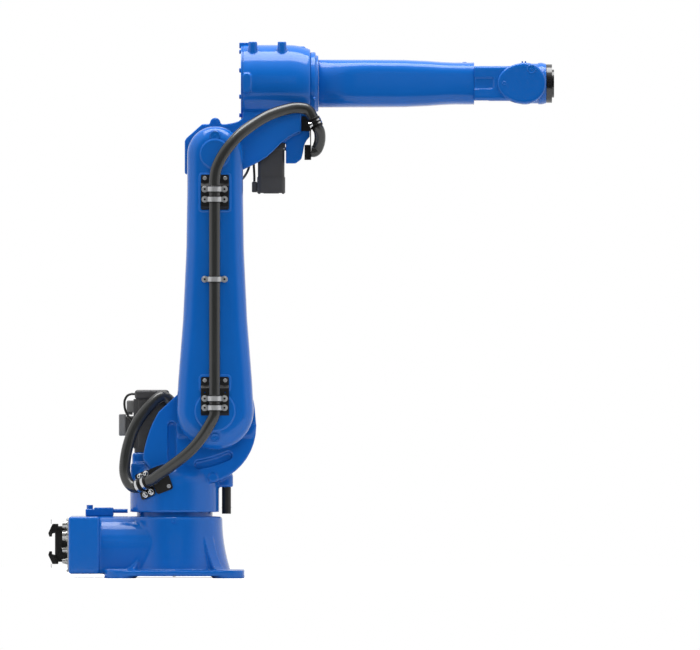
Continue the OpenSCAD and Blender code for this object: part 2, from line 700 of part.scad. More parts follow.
cover_bolt_orbit = 98;
cover_bolt_r = 5.5;
cover_bolt_h = 5;
module elbow_rear_cover() color(paint) translate([0, 0, axis4_z]) {
    rod_x(barrel_x, barrel_x + cover_t, barrel_r - 1);
    for (a = [22.5:45:337.5]) rotate([a, 0, 0]) translate([0, 0, cover_bolt_orbit])
        rod_x(barrel_x - cover_bolt_h, barrel_x + 1, cover_bolt_r);
}

high_ring_r = 60;
module axis3_bearing_ring() color(steel)
    translate([axis2_x, 0, axis3_z]) rod_y(arm_far + seat, -shoulder_near, high_ring_r);

ring_step = 15;
ring_l = 22.5;
module forearm_bearing_ring() color(paint) translate([0, 0, axis4_z]) {
    rod_x(barrel_end, barrel_end + ring_step, barrel_front_r - 7);
    rod_x(barrel_end, barrel_end + ring_l, barrel_front_r - 17);
}

motor4_l = 142;
motor4_cap_l = 45;
module axis4_motor() color(dark) translate([motor4_x, 0, motor4_top + 12]) mirror([0, 0, 1]) {
    linear_extrude(motor_flange_h)
        rounded_rect([-motor4_w / 2, -motor4_w / 2], [motor4_w / 2, motor4_w / 2], 5);
    linear_extrude(motor4_l - motor4_cap_l)
        rounded_rect([2 - motor4_w / 2, 2 - motor4_w / 2], [motor4_w / 2 - 2, motor4_w / 2 - 2], 10);
    translate([0, 0, motor4_l - motor4_cap_l]) linear_extrude(motor4_cap_l)
        rounded_rect([-motor4_w / 2, -motor4_w / 2], [motor4_w / 2, motor4_w / 2], 12);
}
motor4_low = motor4_top + 12 - motor4_l;
plug4_l = 15;
plug4_w = 22;
plug4_h = 30;
plug4_lift = 2;
plug4_sides = [-26, 2];
module axis4_motor_connectors() color(dark) {
    x = motor4_x - motor4_w / 2;
    for (y = plug4_sides) translate([x - plug4_l, y, motor4_low + plug4_lift])
        soft_block([0, 0, 0], [plug4_l, plug4_w, plug4_h], 3);
}
// Motor leads, measured from the elbow axis: one up into the elbow and one round to its motor
lead4_a = moved([[111, -15, -77.7], [111, -15, -60], [109, -15, -20], [109, -15, 10], [109, -15, 31.7]],
    [axis2_x, 0, axis3_z]);
lead4_b = moved([[99, 20, 31.7], [98, 20, -16], [95, 24, -38], [87, 34, -56], [76, 48, -70], [62, 66, -77],
    [49, 84, -74], [42, 98, -64], [41, 102, -55], [41, 102, -47.3]], [axis2_x, 0, axis3_z]);
module axis4_motor_leads() color(rubber) {
    tube(lead4_a, lead_d);
    tube(lead4_b, lead_d);
}

motor3_l = 130;
motor3_cap_l = 30;
module axis3_motor() color(dark)
    translate([axis2_x, shoulder_far, axis3_z]) rotate([-90, 0, 0])
        servo(motor3_w, motor3_l, motor3_cap_l, 6);

// Plate in front of the gear housing that the hose is clamped to and ends in
end_plate_x = axis2_x + 270;
end_plate_w = 76;
end_hose_y = -112;
end_plate_low = axis3_z - 16;
end_plate_back = -20;
// Below this height the plate stays behind the lower arm's path
end_plate_step = axis3_z + 50;
end_fold_z = axis3_z + 71;
end_tilt = 25;
end_tab_l = 28;
end_clamp_t = 12;
// Where the hose enters the plate, beside and below its clamp
end_shift = 38;
end_entry_z = end_plate_low + 24;
end_fold = [end_plate_x + bracket_t, end_hose_y, end_fold_z];
module elbow_hose_bracket() color(black) {
    along_x(end_plate_x, end_plate_x + bracket_t) {
        rounded_rect([arm_far + 5, end_plate_low], [end_plate_back, end_fold_z], 4);
        rounded_rect([end_hose_y - end_plate_w / 2, end_plate_step], [end_plate_back, end_fold_z], 4);
    }
    translate(end_fold) rotate([0, -end_tilt, 0])
        translate([-bracket_t, -end_plate_w / 2, -2]) cube([bracket_t, end_plate_w, end_tab_l]);
    translate([end_plate_x - 25, -housing_w - bracket_t - seat, axis3_z + 66]) cube([26, bracket_t, 42]);
    translate([end_plate_x - 16, -housing_w + 10, end_plate_low]) cube([17, bracket_t, 43]);
}
module elbow_hose_clamp() color(steel)
    translate(end_fold) rotate([0, -end_tilt, 0]) translate([0, 0, end_clamp_t])
        rotate([0, 0, 90]) saddle_clamp();

// Hose routes, point by point, from the turntable up to the elbow
function drum_hose(x) = let (u = x * cos(bracket_tilt), v = -bracket_seat_r - hose_seat)
    [u * cos(bracket_turn) - v * sin(bracket_turn), u * sin(bracket_turn) + v * cos(bracket_turn),
        drum_clamp_z + x * sin(bracket_tilt)];
function end_point(t) = end_fold
    + [hose_seat * cos(end_tilt) - t * sin(end_tilt), 0, hose_seat * sin(end_tilt) + t * cos(end_tilt)];
hose_x = axis2_x - 1;
arm_hose_low = axis2_z + 3;
arm_hose_high = axis3_z - 86;
loop_route = concat(
    moved([[8, -28, seat], [8, -28, 50]], [0, 0, drum_top]),
    moved([[7, -28, -45], [2, -28, -5], [-10, -28, 25], [-34, -30, 41], [-62, -40, 24], [-93, -52, -12]],
        [0, 0, axis2_z]),
    moved([[-116, -60, 94], [-132, -63, 48], [-140, -67, 6], [-141, -77, -30], [-131, -92, -58]],
        [0, 0, drum_top]),
    [drum_hose(-28), drum_hose(0), drum_hose(20)]);
shoulder_route = concat(
    [drum_hose(20), drum_hose(40)],
    moved([[-153, 58, -180], [-125, 43, -160], [-93, 28, -136], [-63, 16, -109], [-37, 7, -78], [-17, 2, -46],
        [-4, 0, -22], [0, 0, -10], [0, 0, 0]], [hose_x, arm_hose_y, arm_hose_low]));
elbow_route = concat(
    moved([[0, 0, 0], [0, 0, 12], [5, 0, 44], [23, 2, 82], [50, 9, 118], [88, 27, 154], [150, 61, 194],
        [212, 91, 215], [247, 103, 217], [266, 107, 210]], [hose_x, arm_hose_y, arm_hose_high]),
    [end_point(32), end_point(22), end_point(end_clamp_t)]);
elbow_end_route = concat(
    [end_point(end_clamp_t), end_point(0)],
    moved([[12, 7, -24], [14, 20, -41], [12, 31, -58]], end_point(end_clamp_t)),
    moved([[17, 0, 7.5], [9, 0, 0], [seat, 0, 0]],
        [end_plate_x + bracket_t, end_hose_y + end_shift, end_entry_z]));
module hose_loop() color(rubber) tube(loop_route, hose_d);
module hose_shoulder_span() color(rubber) tube(shoulder_route, hose_d);
module hose_lower_arm() color(rubber)
    translate([hose_x, arm_hose_y, arm_hose_low]) cylinder(d = hose_d, h = arm_hose_high - arm_hose_low);
module hose_elbow_span() color(rubber) tube(elbow_route, hose_d);
module hose_elbow_end() color(rubber) tube(elbow_end_route, hose_d);

// Forearm

forearm_x0 = barrel_end + ring_l + seat;
forearm_x1 = axis5_x - neck_back;
oval_sides = 36;
function oval(x, w, h, e) = [for (k = [0:oval_sides - 1]) let (a = 360 * k / oval_sides,
    c = cos(a), s = sin(a))
    [x, w * sign(c) * pow(abs(c), 2 / e), axis4_z + h * sign(s) * pow(abs(s), 2 / e)]];
// Stations along the forearm: share of its length, of the widening and of the drop in height
stations = [[0, 0, 0], [0.05, 0.12, 0], [0.1, 0.36, 0], [0.15, 0.62, 0], [0.2, 0.81, 0], [0.26, 0.94, 0],
    [0.34, 1, 0], [0.55, 1, 0.08], [0.7, 1, 0.45], [0.8, 1, 0.85], [0.87, 1, 1], [0.985, 1, 1], [1, 0.96, 0.96]];
// Roundness of the section: 2 is an oval, more is boxier
root_power = 2;
tip_power = 3.8;
module forearm_tube() color(paint)
    loft([for (s = stations) oval(forearm_x0 + s[0] * (forearm_x1 - forearm_x0),
        forearm_root_w + s[1] * (forearm_tip_w - forearm_root_w), forearm_r + s[2] * (forearm_tip_h - forearm_r),
        root_power + s[1] * (tip_power - root_power))]);

axis5 = [axis5_x, axis4_z];
gap_back = 102;
neck_pocket_l = 56;
neck_pocket_h = 16;
neck_pocket_d = 5;
fork_round = 10;
cheek_profile = concat(
    [[0, -fork_w]],
    arc([cheek_r - fork_round, fork_round - fork_w], fork_round, -90, 0, 5),
    arc([cheek_r - fork_round, fork_w - fork_round], fork_round, 0, 90, 5),
    [[0, fork_w]]);
module wrist_fork() color(paint) difference() {
    union() {
        along_x(axis5_x - neck_back, axis5_x)
            rounded_rect([-fork_w, axis4_z - neck_h], [fork_w, axis4_z + neck_h], fork_round);
        translate([axis5_x, 0, axis4_z]) rotate([90, 0, 0]) rotate_extrude() polygon(cheek_profile);
    }
    translate([axis5_x - gap_back, -fork_gap, axis4_z - 2 * cheek_r])
        cube([gap_back + 2 * cheek_r, 2 * fork_gap, 4 * cheek_r]);
    for (y = [-fork_w, fork_w]) along_y(y - neck_pocket_d, y + neck_pocket_d)
        rounded_rect([axis5_x - neck_back - 10, axis4_z - neck_pocket_h],
            [axis5_x - neck_back + neck_pocket_l, axis4_z + neck_pocket_h], 6);
}

cover_bulge = 9;
cover_h = 58.5;
cover_front = 60;
cover_back = 80;
cover_outline = [for (a = [-90:10:260]) axis5
    + [cos(a) * (a < 90 ? cover_front : cover_back), cover_h * sin(a)]];
module wrist_side_covers() color(paint) {
    pillow(cover_outline, -fork_w, -fork_w - cover_bulge, 0.2, 8);
    mirror([0, 1, 0]) pillow(cover_outline, -fork_w, -fork_w - cover_bulge, 0.2, 8);
}

flange_face_l = 22;
wrist_end = tool_x - flange_face_l;
module wrist_housing() color(paint) translate([axis5_x, 0, axis4_z]) {
    rod_y(-wrist_w, wrist_w, wrist_r);
    rod_x(0, wrist_end - axis5_x, wrist_r);
    rod_y(-fork_gap + seat, fork_gap - seat, 40);
}

flange_disc_l = 6;
module tool_flange() color(black) translate([0, 0, axis4_z]) difference() {
    union() {
        rod_x(wrist_end + seat, tool_x - flange_disc_l, flange_ring_r);
        rod_x(wrist_end + seat, tool_x, flange_r);
    }
    rod_x(tool_x - flange_disc_l, tool_x + 1, pilot_d / 2);
    for (a = [45:90:315]) rotate([a, 0, 0]) translate([0, 0, flange_pcd / 2])
        rod_x(tool_x - 12, tool_x + 1, flange_hole_d / 2);
}

base_casting();
base_bearing_ring();
connector_panel();
power_connector();
connector_levers();
round_connectors();
axis1_stop_block();
turntable_casting();
axis1_motor_body();
axis1_motor_cap();
axis1_motor_connectors();
axis1_motor_lead();
axis1_stop_pin();
axis2_motor();
axis2_bearing_ring();
turntable_hose_bracket();
turntable_hose_clamps();
hose_loop();
hose_shoulder_span();
lower_arm_casting();
shoulder_cover_disc();
elbow_cover_disc();
lower_arm_plugs();
upper_hose_bracket();
lower_hose_bracket();
lower_arm_hose_clamps();
hose_lower_arm();
elbow_casting();
elbow_rear_cover();
axis3_bearing_ring();
forearm_bearing_ring();
axis4_motor();
axis4_motor_connectors();
axis4_motor_leads();
axis3_motor();
elbow_hose_bracket();
elbow_hose_clamp();
hose_elbow_span();
hose_elbow_end();
forearm_tube();
wrist_fork();
wrist_side_covers();
wrist_housing();
tool_flange();
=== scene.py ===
"""Industrial robot arm: cast fillets, paint, motors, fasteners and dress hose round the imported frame."""
import json
import math

import bmesh
import bpy
from mathutils import Matrix, Vector


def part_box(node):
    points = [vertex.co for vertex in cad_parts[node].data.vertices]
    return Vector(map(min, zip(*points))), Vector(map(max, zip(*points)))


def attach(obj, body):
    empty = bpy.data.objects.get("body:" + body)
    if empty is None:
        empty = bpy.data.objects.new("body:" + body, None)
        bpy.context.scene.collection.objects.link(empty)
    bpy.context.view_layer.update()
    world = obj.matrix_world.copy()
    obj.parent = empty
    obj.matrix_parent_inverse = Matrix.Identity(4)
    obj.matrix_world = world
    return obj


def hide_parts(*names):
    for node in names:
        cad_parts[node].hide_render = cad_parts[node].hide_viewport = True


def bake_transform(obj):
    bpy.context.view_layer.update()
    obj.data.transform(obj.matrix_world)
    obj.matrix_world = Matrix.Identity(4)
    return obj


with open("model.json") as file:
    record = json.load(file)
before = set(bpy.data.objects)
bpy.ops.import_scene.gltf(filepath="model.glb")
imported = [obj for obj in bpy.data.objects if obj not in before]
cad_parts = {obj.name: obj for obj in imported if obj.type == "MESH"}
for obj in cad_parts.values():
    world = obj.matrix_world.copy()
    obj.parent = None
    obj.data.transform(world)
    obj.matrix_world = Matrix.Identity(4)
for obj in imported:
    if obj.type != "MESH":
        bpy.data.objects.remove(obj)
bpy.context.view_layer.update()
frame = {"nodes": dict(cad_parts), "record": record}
NODES = frame["nodes"]
scene = bpy.context.scene
MM = 0.001

# Photograph's frame
PHOTO_W, PHOTO_H = 700, 650
MM_PER_PIXEL = 2.85
ORIGIN_PIXEL = (174.7, 577.6)
CAMERA_DISTANCE = 60.0
SENSOR_W = 36.0

# Places that the pieces share, in millimetres, as in the part's source
AXIS2 = Vector((116, 0, 475))
AXIS3 = Vector((116, 0, 1206))
AXIS4_Z = 1408.0
DRUM_TOP = 330.0
ARM_FACE = -190.0
BRACKET_T = 3.0
BRACKET_RISE = 12.0
CLAMP_W = 13.6
HOSE_D = 32.0
LEAD_D = 7.0
HOSE_SEAT = 18.0
HOSE_LOW = Vector((115, -220, 478))
HOSE_HIGH = Vector((115, -220, 1120))
ARM_CLAMPS_Z = (1106, 1077, 850, 511, 485)
DRUM_CLAMPS = (-11, 11)
DRUM_CLAMP_Z = 267.0
DRUM_SEAT_R = 135.0
DRUM_TURN = math.radians(-36.5)
DRUM_TILT = math.radians(20)
END_FOLD = Vector((389, -112, 1277))
END_TILT = math.radians(25)
END_CLAMP = 12.0


def drum_hose(along):
    """A point on the hose's straight run past the drum, measured along the hose from its bracket."""
    u = along * math.cos(DRUM_TILT)
    v = -DRUM_SEAT_R - HOSE_SEAT
    turn = Matrix.Rotation(DRUM_TURN, 3, "Z")
    return turn @ Vector((u, v, 0)) + Vector((0, 0, DRUM_CLAMP_Z + along * math.sin(DRUM_TILT)))


def end_point(along):
    """A point on the hose's straight run past the tab at the elbow."""
    across = Vector((math.cos(END_TILT), 0, math.sin(END_TILT)))
    upward = Vector((-math.sin(END_TILT), 0, math.cos(END_TILT)))
    return END_FOLD + HOSE_SEAT * across + along * upward


def moved(points, by):
    """The points of a route, shifted."""
    return [Vector(p) + Vector(by) for p in points]


LOOP_ROUTE = [
    *moved([(8, -28, 0.3), (8, -28, 50)], (0, 0, DRUM_TOP)),
    *moved([(7, -28, -45), (2, -28, -5), (-10, -28, 25), (-34, -30, 41), (-62, -40, 24), (-93, -52, -12)],
           (0, 0, AXIS2.z)),
    *moved([(-116, -60, 94), (-132, -63, 48), (-140, -67, 6), (-141, -77, -30), (-131, -92, -58)],
           (0, 0, DRUM_TOP)),
    drum_hose(-28), drum_hose(0), drum_hose(20)]
SHOULDER_ROUTE = [
    drum_hose(20), drum_hose(40),
    *moved([(-153, 58, -180), (-125, 43, -160), (-93, 28, -136), (-63, 16, -109), (-37, 7, -78),
            (-17, 2, -46), (-4, 0, -22), (0, 0, -10), (0, 0, 0)], HOSE_LOW)]
ARM_ROUTE = [HOSE_LOW.lerp(HOSE_HIGH, k / 4) for k in range(5)]
ELBOW_ROUTE = [
    *moved([(0, 0, 0), (0, 0, 12), (5, 0, 44), (23, 2, 82), (50, 9, 118), (88, 27, 154), (150, 61, 194),
            (212, 91, 215), (247, 103, 217), (266, 107, 210)], HOSE_HIGH),
    end_point(32), end_point(22), end_point(END_CLAMP)]
ELBOW_END_ROUTE = [
    end_point(END_CLAMP), end_point(0),
    *moved([(12, 7, -24), (14, 20, -41), (12, 31, -58)], end_point(END_CLAMP)),
    *moved([(17, 0, 7.5), (9, 0, 0), (0.3, 0, 0)], (389, -74, 1214))]
LEAD1_ROUTE = moved(
    [(0, 0, 0), (-10, -1, 0), (-21, -2, -5), (-28, -3, -17), (-29, -4, -31), (-26, -5, -47), (-18, -6, -63),
     (-9, -6, -75), (-3, -6, -81), (1, -6, -83)], (-114.3, 10, 523))
LEAD4_ROUTES = [
    moved([(111, -15, -77.7), (111, -15, -60), (109, -15, -20), (109, -15, 10), (109, -15, 31.7)], AXIS3),
    moved([(99, 20, 31.7), (98, 20, -16), (95, 24, -38), (87, 34, -56), (76, 48, -70), (62, 66, -77),
           (49, 84, -74), (42, 98, -64), (41, 102, -55), (41, 102, -47.3)], AXIS3)]


# Shader node groups

def new_group(name, inputs, outputs):
    """An empty shader node group with named sockets, and its input and output nodes."""
    tree = bpy.data.node_groups.new(name, "ShaderNodeTree")
    for label, kind, value in inputs:
        socket = tree.interface.new_socket(label, in_out="INPUT", socket_type=kind)
        socket.default_value = value
    for label, kind in outputs:
        tree.interface.new_socket(label, in_out="OUTPUT", socket_type=kind)
    return tree, tree.nodes.new("NodeGroupInput"), tree.nodes.new("NodeGroupOutput")


def noise(tree, coordinate, scale, detail=3.0, roughness=0.5):
    """A noise texture on the given coordinate; scale is a socket or a number, in cells a metre."""
    node = tree.nodes.new("ShaderNodeTexNoise")
    node.inputs["Detail"].default_value = detail
    node.inputs["Roughness"].default_value = roughness
    tree.links.new(coordinate, node.inputs["Vector"])
    if isinstance(scale, bpy.types.NodeSocket):
        tree.links.new(scale, node.inputs["Scale"])
    else:
        node.inputs["Scale"].default_value = scale
    return node.outputs["Fac"]


def math_node(tree, operation, first, second):
    """One math node; each argument is a socket or a number."""
    node = tree.nodes.new("ShaderNodeMath")
    node.operation = operation
    for socket, value in zip(node.inputs, (first, second)):
        if isinstance(value, bpy.types.NodeSocket):
            tree.links.new(value, socket)
        else:
            socket.default_value = value
    return node.outputs[0]


def map_range(tree, value, low, high, start=0.25, stop=0.75):
    """Maps a value between start and stop, where noise mostly stays, to two sockets or numbers."""
    node = tree.nodes.new("ShaderNodeMapRange")
    node.interpolation_type = "SMOOTHSTEP"
    node.inputs["From Min"].default_value = start
    node.inputs["From Max"].default_value = stop
    tree.links.new(value, node.inputs["Value"])
    for label, bound in (("To Min", low), ("To Max", high)):
        if isinstance(bound, bpy.types.NodeSocket):
            tree.links.new(bound, node.inputs[label])
        else:
            node.inputs[label].default_value = bound
    return node.outputs["Result"]


def surface_skin_group():
    """Fine relief with slow changes of tone and roughness, as on paint, castings, rubber and plastic."""
    tree, source, sink = new_group(
        "Surface skin",
        [("Colour", "NodeSocketColor", (0.5, 0.5, 0.5, 1)), ("Tone Change", "NodeSocketFloat", 0.06),
         ("Grain Scale", "NodeSocketFloat", 600.0), ("Roughness Low", "NodeSocketFloat", 0.3),
         ("Roughness High", "NodeSocketFloat", 0.4)],
        [("Colour", "NodeSocketColor"), ("Roughness", "NodeSocketFloat"), ("Height", "NodeSocketFloat")])
    place = tree.nodes.new("ShaderNodeTexCoord").outputs["Object"]
    broad = noise(tree, place, 5.0, 4.0, 0.6)
    grain = noise(tree, place, source.outputs["Grain Scale"], 2.0)
    low = math_node(tree, "SUBTRACT", 1.0, source.outputs["Tone Change"])
    high = math_node(tree, "ADD", 1.0, source.outputs["Tone Change"])
    tone = map_range(tree, broad, low, high)
    scaled = tree.nodes.new("ShaderNodeVectorMath")
    scaled.operation = "SCALE"
    tree.links.new(source.outputs["Colour"], scaled.inputs[0])
    tree.links.new(tone, scaled.inputs["Scale"])
    tree.links.new(scaled.outputs["Vector"], sink.inputs["Colour"])
    rough = map_range(tree, broad, source.outputs["Roughness Low"], source.outputs["Roughness High"])
    tree.links.new(rough, sink.inputs["Roughness"])
    tree.links.new(grain, sink.inputs["Height"])
    return tree


def turned_lines_group():
    """Fine brushed or turned lines along one direction, as relief and as a change of roughness."""
    tree, source, sink = new_group(
        "Brushed lines",
        [("Stretch", "NodeSocketVector", (1.0, 1.0, 1.0)), ("Scale", "NodeSocketFloat", 300.0),
         ("Roughness Low", "NodeSocketFloat", 0.2), ("Roughness High", "NodeSocketFloat", 0.4)],
        [("Roughness", "NodeSocketFloat"), ("Height", "NodeSocketFloat")])
    stretched = tree.nodes.new("ShaderNodeVectorMath")
    stretched.operation = "MULTIPLY"
    tree.links.new(tree.nodes.new("ShaderNodeTexCoord").outputs["Object"], stretched.inputs[0])
    tree.links.new(source.outputs["Stretch"], stretched.inputs[1])
    lines = noise(tree, stretched.outputs["Vector"], source.outputs["Scale"], 4.0, 0.65)
    rough = map_range(tree, lines, source.outputs["Roughness Low"], source.outputs["Roughness High"])
    tree.links.new(rough, sink.inputs["Roughness"])
    tree.links.new(lines, sink.inputs["Height"])
    return tree


SURFACE_SKIN = surface_skin_group()
BRUSHED_LINES = turned_lines_group()


# Materials

SKIN_RELIEF = 0.3 * MM
LINE_RELIEF = 0.1 * MM


def empty_material(name):
    """A material with its Principled shader, node tree and a bump node on the shader's normal."""
    material = bpy.data.materials.new(name)
    material.use_nodes = True
    tree = material.node_tree
    shader = tree.nodes["Principled BSDF"]
    bump = tree.nodes.new("ShaderNodeBump")
    tree.links.new(bump.outputs["Normal"], shader.inputs["Normal"])
    return material, tree, shader, bump


def place_group(tree, group, **values):
    """Places a node group and sets its inputs; an input's name is written with _ for a space."""
    node = tree.nodes.new("ShaderNodeGroup")
    node.node_tree = group
    for label, value in values.items():
        node.inputs[label.replace("_", " ")].default_value = value
    return node


def skin_material(name, colour, tone, grain, rough, relief, coat=0.0, coat_rough=0.1, specular=0.5):
    """A finish made of the surface skin: paint, cast housing, rubber or moulded plastic."""
    material, tree, shader, bump = empty_material(name)
    skin = place_group(tree, SURFACE_SKIN, Colour=(*colour, 1), Tone_Change=tone, Grain_Scale=grain,
                       Roughness_Low=rough[0], Roughness_High=rough[1])
    tree.links.new(skin.outputs["Colour"], shader.inputs["Base Color"])
    tree.links.new(skin.outputs["Roughness"], shader.inputs["Roughness"])
    tree.links.new(skin.outputs["Height"], bump.inputs["Height"])
    bump.inputs["Strength"].default_value = relief
    bump.inputs["Distance"].default_value = SKIN_RELIEF
    shader.inputs["Coat Weight"].default_value = coat
    shader.inputs["Coat Roughness"].default_value = coat_rough
    shader.inputs["Specular IOR Level"].default_value = specular
    return material


def metal_material(name, colour, stretch, scale, rough, relief, metallic=1.0):
    """Bare or plated metal with brushed or turned lines."""
    material, tree, shader, bump = empty_material(name)
    lines = place_group(tree, BRUSHED_LINES, Stretch=stretch, Scale=scale,
                        Roughness_Low=rough[0], Roughness_High=rough[1])
    tree.links.new(lines.outputs["Roughness"], shader.inputs["Roughness"])
    tree.links.new(lines.outputs["Height"], bump.inputs["Height"])
    bump.inputs["Strength"].default_value = relief
    bump.inputs["Distance"].default_value = LINE_RELIEF
    shader.inputs["Base Color"].default_value = (*colour, 1)
    shader.inputs["Metallic"].default_value = metallic
    return material


BLUE = skin_material(
    "blue_gloss_paint", (0.006, 0.120, 0.48), tone=0.03, grain=420.0, rough=(0.13, 0.19), relief=0.05,
    coat=0.12, coat_rough=0.05, specular=0.3)
MOTOR = skin_material(
    "servo_black", (0.063, 0.063, 0.064), tone=0.10, grain=900.0, rough=(0.34, 0.44), relief=0.20,
    specular=0.4)
PLUG_GREY = skin_material(
    "motor_plug_grey", (0.205, 0.205, 0.206), tone=0.06, grain=900.0, rough=(0.40, 0.50), relief=0.15,
    specular=0.3)
POWDER = skin_material(
    "black_powder_coat", (0.012, 0.012, 0.012), tone=0.10, grain=1100.0, rough=(0.34, 0.44), relief=0.20,
    specular=0.35)
RUBBER = skin_material(
    "hose_rubber", (0.026, 0.027, 0.026), tone=0.06, grain=700.0, rough=(0.17, 0.24), relief=0.05,
    specular=0.6)
PLASTIC = skin_material(
    "connector_plastic", (0.005, 0.005, 0.005), tone=0.10, grain=1300.0, rough=(0.36, 0.48), relief=0.3,
    specular=0.3)
PANEL = skin_material(
    "panel_coating", (0.56, 0.54, 0.47), tone=0.05, grain=800.0, rough=(0.35, 0.45), relief=0.15)
ANODISED = skin_material(
    "flange_black", (0.015, 0.015, 0.016), tone=0.10, grain=500.0, rough=(0.18, 0.26), relief=0.10,
    specular=0.8)
ZINC = metal_material(
    "zinc_steel", (0.49, 0.50, 0.51), stretch=(1.0, 1.0, 14.0), scale=160.0, rough=(0.30, 0.44),
    relief=0.12, metallic=0.6)
CHROME = metal_material(
    "bright_steel", (0.62, 0.63, 0.64), stretch=(1.0, 1.0, 9.0), scale=160.0, rough=(0.12, 0.20),
    relief=0.08)
NICKEL = metal_material(
    "nickel_plate", (0.52, 0.52, 0.51), stretch=(10.0, 1.0, 1.0), scale=200.0, rough=(0.20, 0.32),
    relief=0.10, metallic=0.8)

FINISH_OF_SLOT = {
    "blue_paint": BLUE, "motor_black": MOTOR, "bracket_black": POWDER, "zinc_steel": ZINC,
    "hose_rubber": RUBBER, "connector_plastic": PLASTIC, "panel_metal": PANEL, "flange_black": ANODISED}


def finish_nodes():
    """Gives every CAD node the finish of its record slot."""
    for part in frame["record"]["subparts"]:
        mesh = NODES[part["node"]].data
        mesh.materials.clear()
        mesh.materials.append(FINISH_OF_SLOT[part["material_slot"]])
    NODES["round_connectors"].data.materials[0] = NICKEL
    NODES["axis1_motor_connectors"].data.materials[0] = PLUG_GREY


# Node modifiers

WELD_REACH = 0.02 * MM
SHARP_ANGLE = math.radians(35)
CAST_SKINS = (
    ("base_casting", 2.8, 4), ("turntable_casting", 2.8, 4), ("lower_arm_casting", 4.0, 30),
    ("elbow_casting", 2.6, 4), ("wrist_fork", 2.2, 7), ("wrist_housing", 2.2, 6),
    ("wrist_side_covers", 2.0, 6), ("forearm_bearing_ring", 2.2, 4))
EDGE_BREAKS = (
    ("axis1_motor_body", 0.8), ("axis1_motor_cap", 1.0), ("axis1_motor_connectors", 0.8),
    ("axis2_motor", 0.8), ("axis3_motor", 0.8), ("axis4_motor", 1.2), ("axis4_motor_connectors", 0.8),
    ("power_connector", 0.8), ("connector_panel", 0.5), ("tool_flange", 0.8),
    ("upper_hose_bracket", 0.6), ("lower_hose_bracket", 0.6), ("turntable_hose_bracket", 0.6),
    ("elbow_hose_bracket", 0.6), ("lower_arm_hose_clamps", 0.5),
    ("shoulder_cover_disc", 1.0), ("elbow_cover_disc", 1.0), ("elbow_rear_cover", 1.0),
    ("forearm_tube", 1.6), ("axis1_stop_block", 0.8), ("axis1_stop_pin", 1.2), ("lower_arm_plugs", 1.0))


def cast_surface(node, voxel_mm, passes):
    """Rounds a casting's edges and inner corners as its pattern and paint do."""
    remesh = NODES[node].modifiers.new("cast skin", "REMESH")
    remesh.mode = "VOXEL"
    remesh.voxel_size = voxel_mm * MM
    remesh.use_smooth_shade = True
    smooth = NODES[node].modifiers.new("cast fillets", "SMOOTH")
    smooth.factor = 0.5
    smooth.iterations = passes


def broken_edges(node, width_mm):
    """Breaks the sharp edges of a machined, moulded or folded piece."""
    piece = NODES[node]
    weld = piece.modifiers.new("joined faces", "WELD")
    weld.merge_threshold = WELD_REACH
    bevel = piece.modifiers.new("broken edges", "BEVEL")
    bevel.width = width_mm * MM
    bevel.segments = 2
    bevel.limit_method = "ANGLE"
    bevel.angle_limit = SHARP_ANGLE
    piece.modifiers.new("even shading", "WEIGHTED_NORMAL")


# Mesh helpers

SCREW_SIDES = 24
SCREW_SINK = 0.4
SCREW_RIM, SCREW_SOCKET = 0.12, 0.56


def make_piece(name, bm, body, material):
    """Turns a bmesh in millimetres into a piece that rides on a body."""
    mesh = bpy.data.meshes.new(name)
    bmesh.ops.scale(bm, vec=(MM, MM, MM), verts=bm.verts)
    bmesh.ops.recalc_face_normals(bm, faces=bm.faces)
    for face in bm.faces:
        face.smooth = True
    for edge in bm.edges:
        if len(edge.link_faces) == 2 and edge.calc_face_angle() > SHARP_ANGLE:
            edge.smooth = False
    bm.to_mesh(mesh)
    bm.free()
    mesh.materials.append(material)
    piece = bpy.data.objects.new(name, mesh)
    scene.collection.objects.link(piece)
    if body:
        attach(piece, body)
    return piece


def spline(points, steps):
    """Points on a Catmull-Rom curve through a route."""
    ends = [2 * points[0] - points[1], *points, 2 * points[-1] - points[-2]]
    curve = []
    for before, start, stop, after in zip(ends, ends[1:], ends[2:], ends[3:]):
        for k in range(steps):
            t = k / steps
            curve.append(0.5 * (2 * start + (stop - before) * t
                                + (2 * before - 5 * start + 4 * stop - after) * t * t
                                + (3 * start - before - 3 * stop + after) * t * t * t))
    curve.append(points[-1])
    return curve


def add_tube(bm, curve, radius, sides):
    """Sweeps a round section along a curve, carried without twist, and closes its ends."""
    angles = [2 * math.pi * k / sides for k in range(sides)]
    rings = []
    across = None
    for i, point in enumerate(curve):
        along = (curve[min(i + 1, len(curve) - 1)] - curve[max(i - 1, 0)]).normalized()
        if across is None:
            across = along.orthogonal().normalized()
        across = (across - along * across.dot(along)).normalized()
        other = along.cross(across)
        rings.append([bm.verts.new(point + radius * (math.cos(a) * across + math.sin(a) * other))
                      for a in angles])
    for lower, upper in zip(rings, rings[1:]):
        for k in range(sides):
            bm.faces.new((lower[k], lower[(k + 1) % sides], upper[(k + 1) % sides], upper[k]))
    bm.faces.new(rings[0][::-1])
    bm.faces.new(rings[-1])


def add_turned(bm, profile, place, sides=32, closed=False):
    """Turns a profile of (radius, height) points round local Z, put in place by a matrix.

    A radius may be a list with one value for each side. A closed profile makes a ring.
    """
    angles = [2 * math.pi * k / sides for k in range(sides)]
    rings = []
    for radius, height in profile:
        radii = radius if isinstance(radius, list) else [radius] * (sides if radius else 1)
        rings.append([bm.verts.new(place @ Vector((r * math.cos(a), r * math.sin(a), height)))
                      for r, a in zip(radii, angles)])
    for lower, upper in zip(rings, rings[1:] + rings[:1] if closed else rings[1:]):
        for k in range(sides):
            corners = [lower[k % len(lower)], lower[(k + 1) % len(lower)],
                       upper[(k + 1) % len(upper)], upper[k % len(upper)]]
            corners = list(dict.fromkeys(corners))
            if len(corners) > 2:
                bm.faces.new(corners)


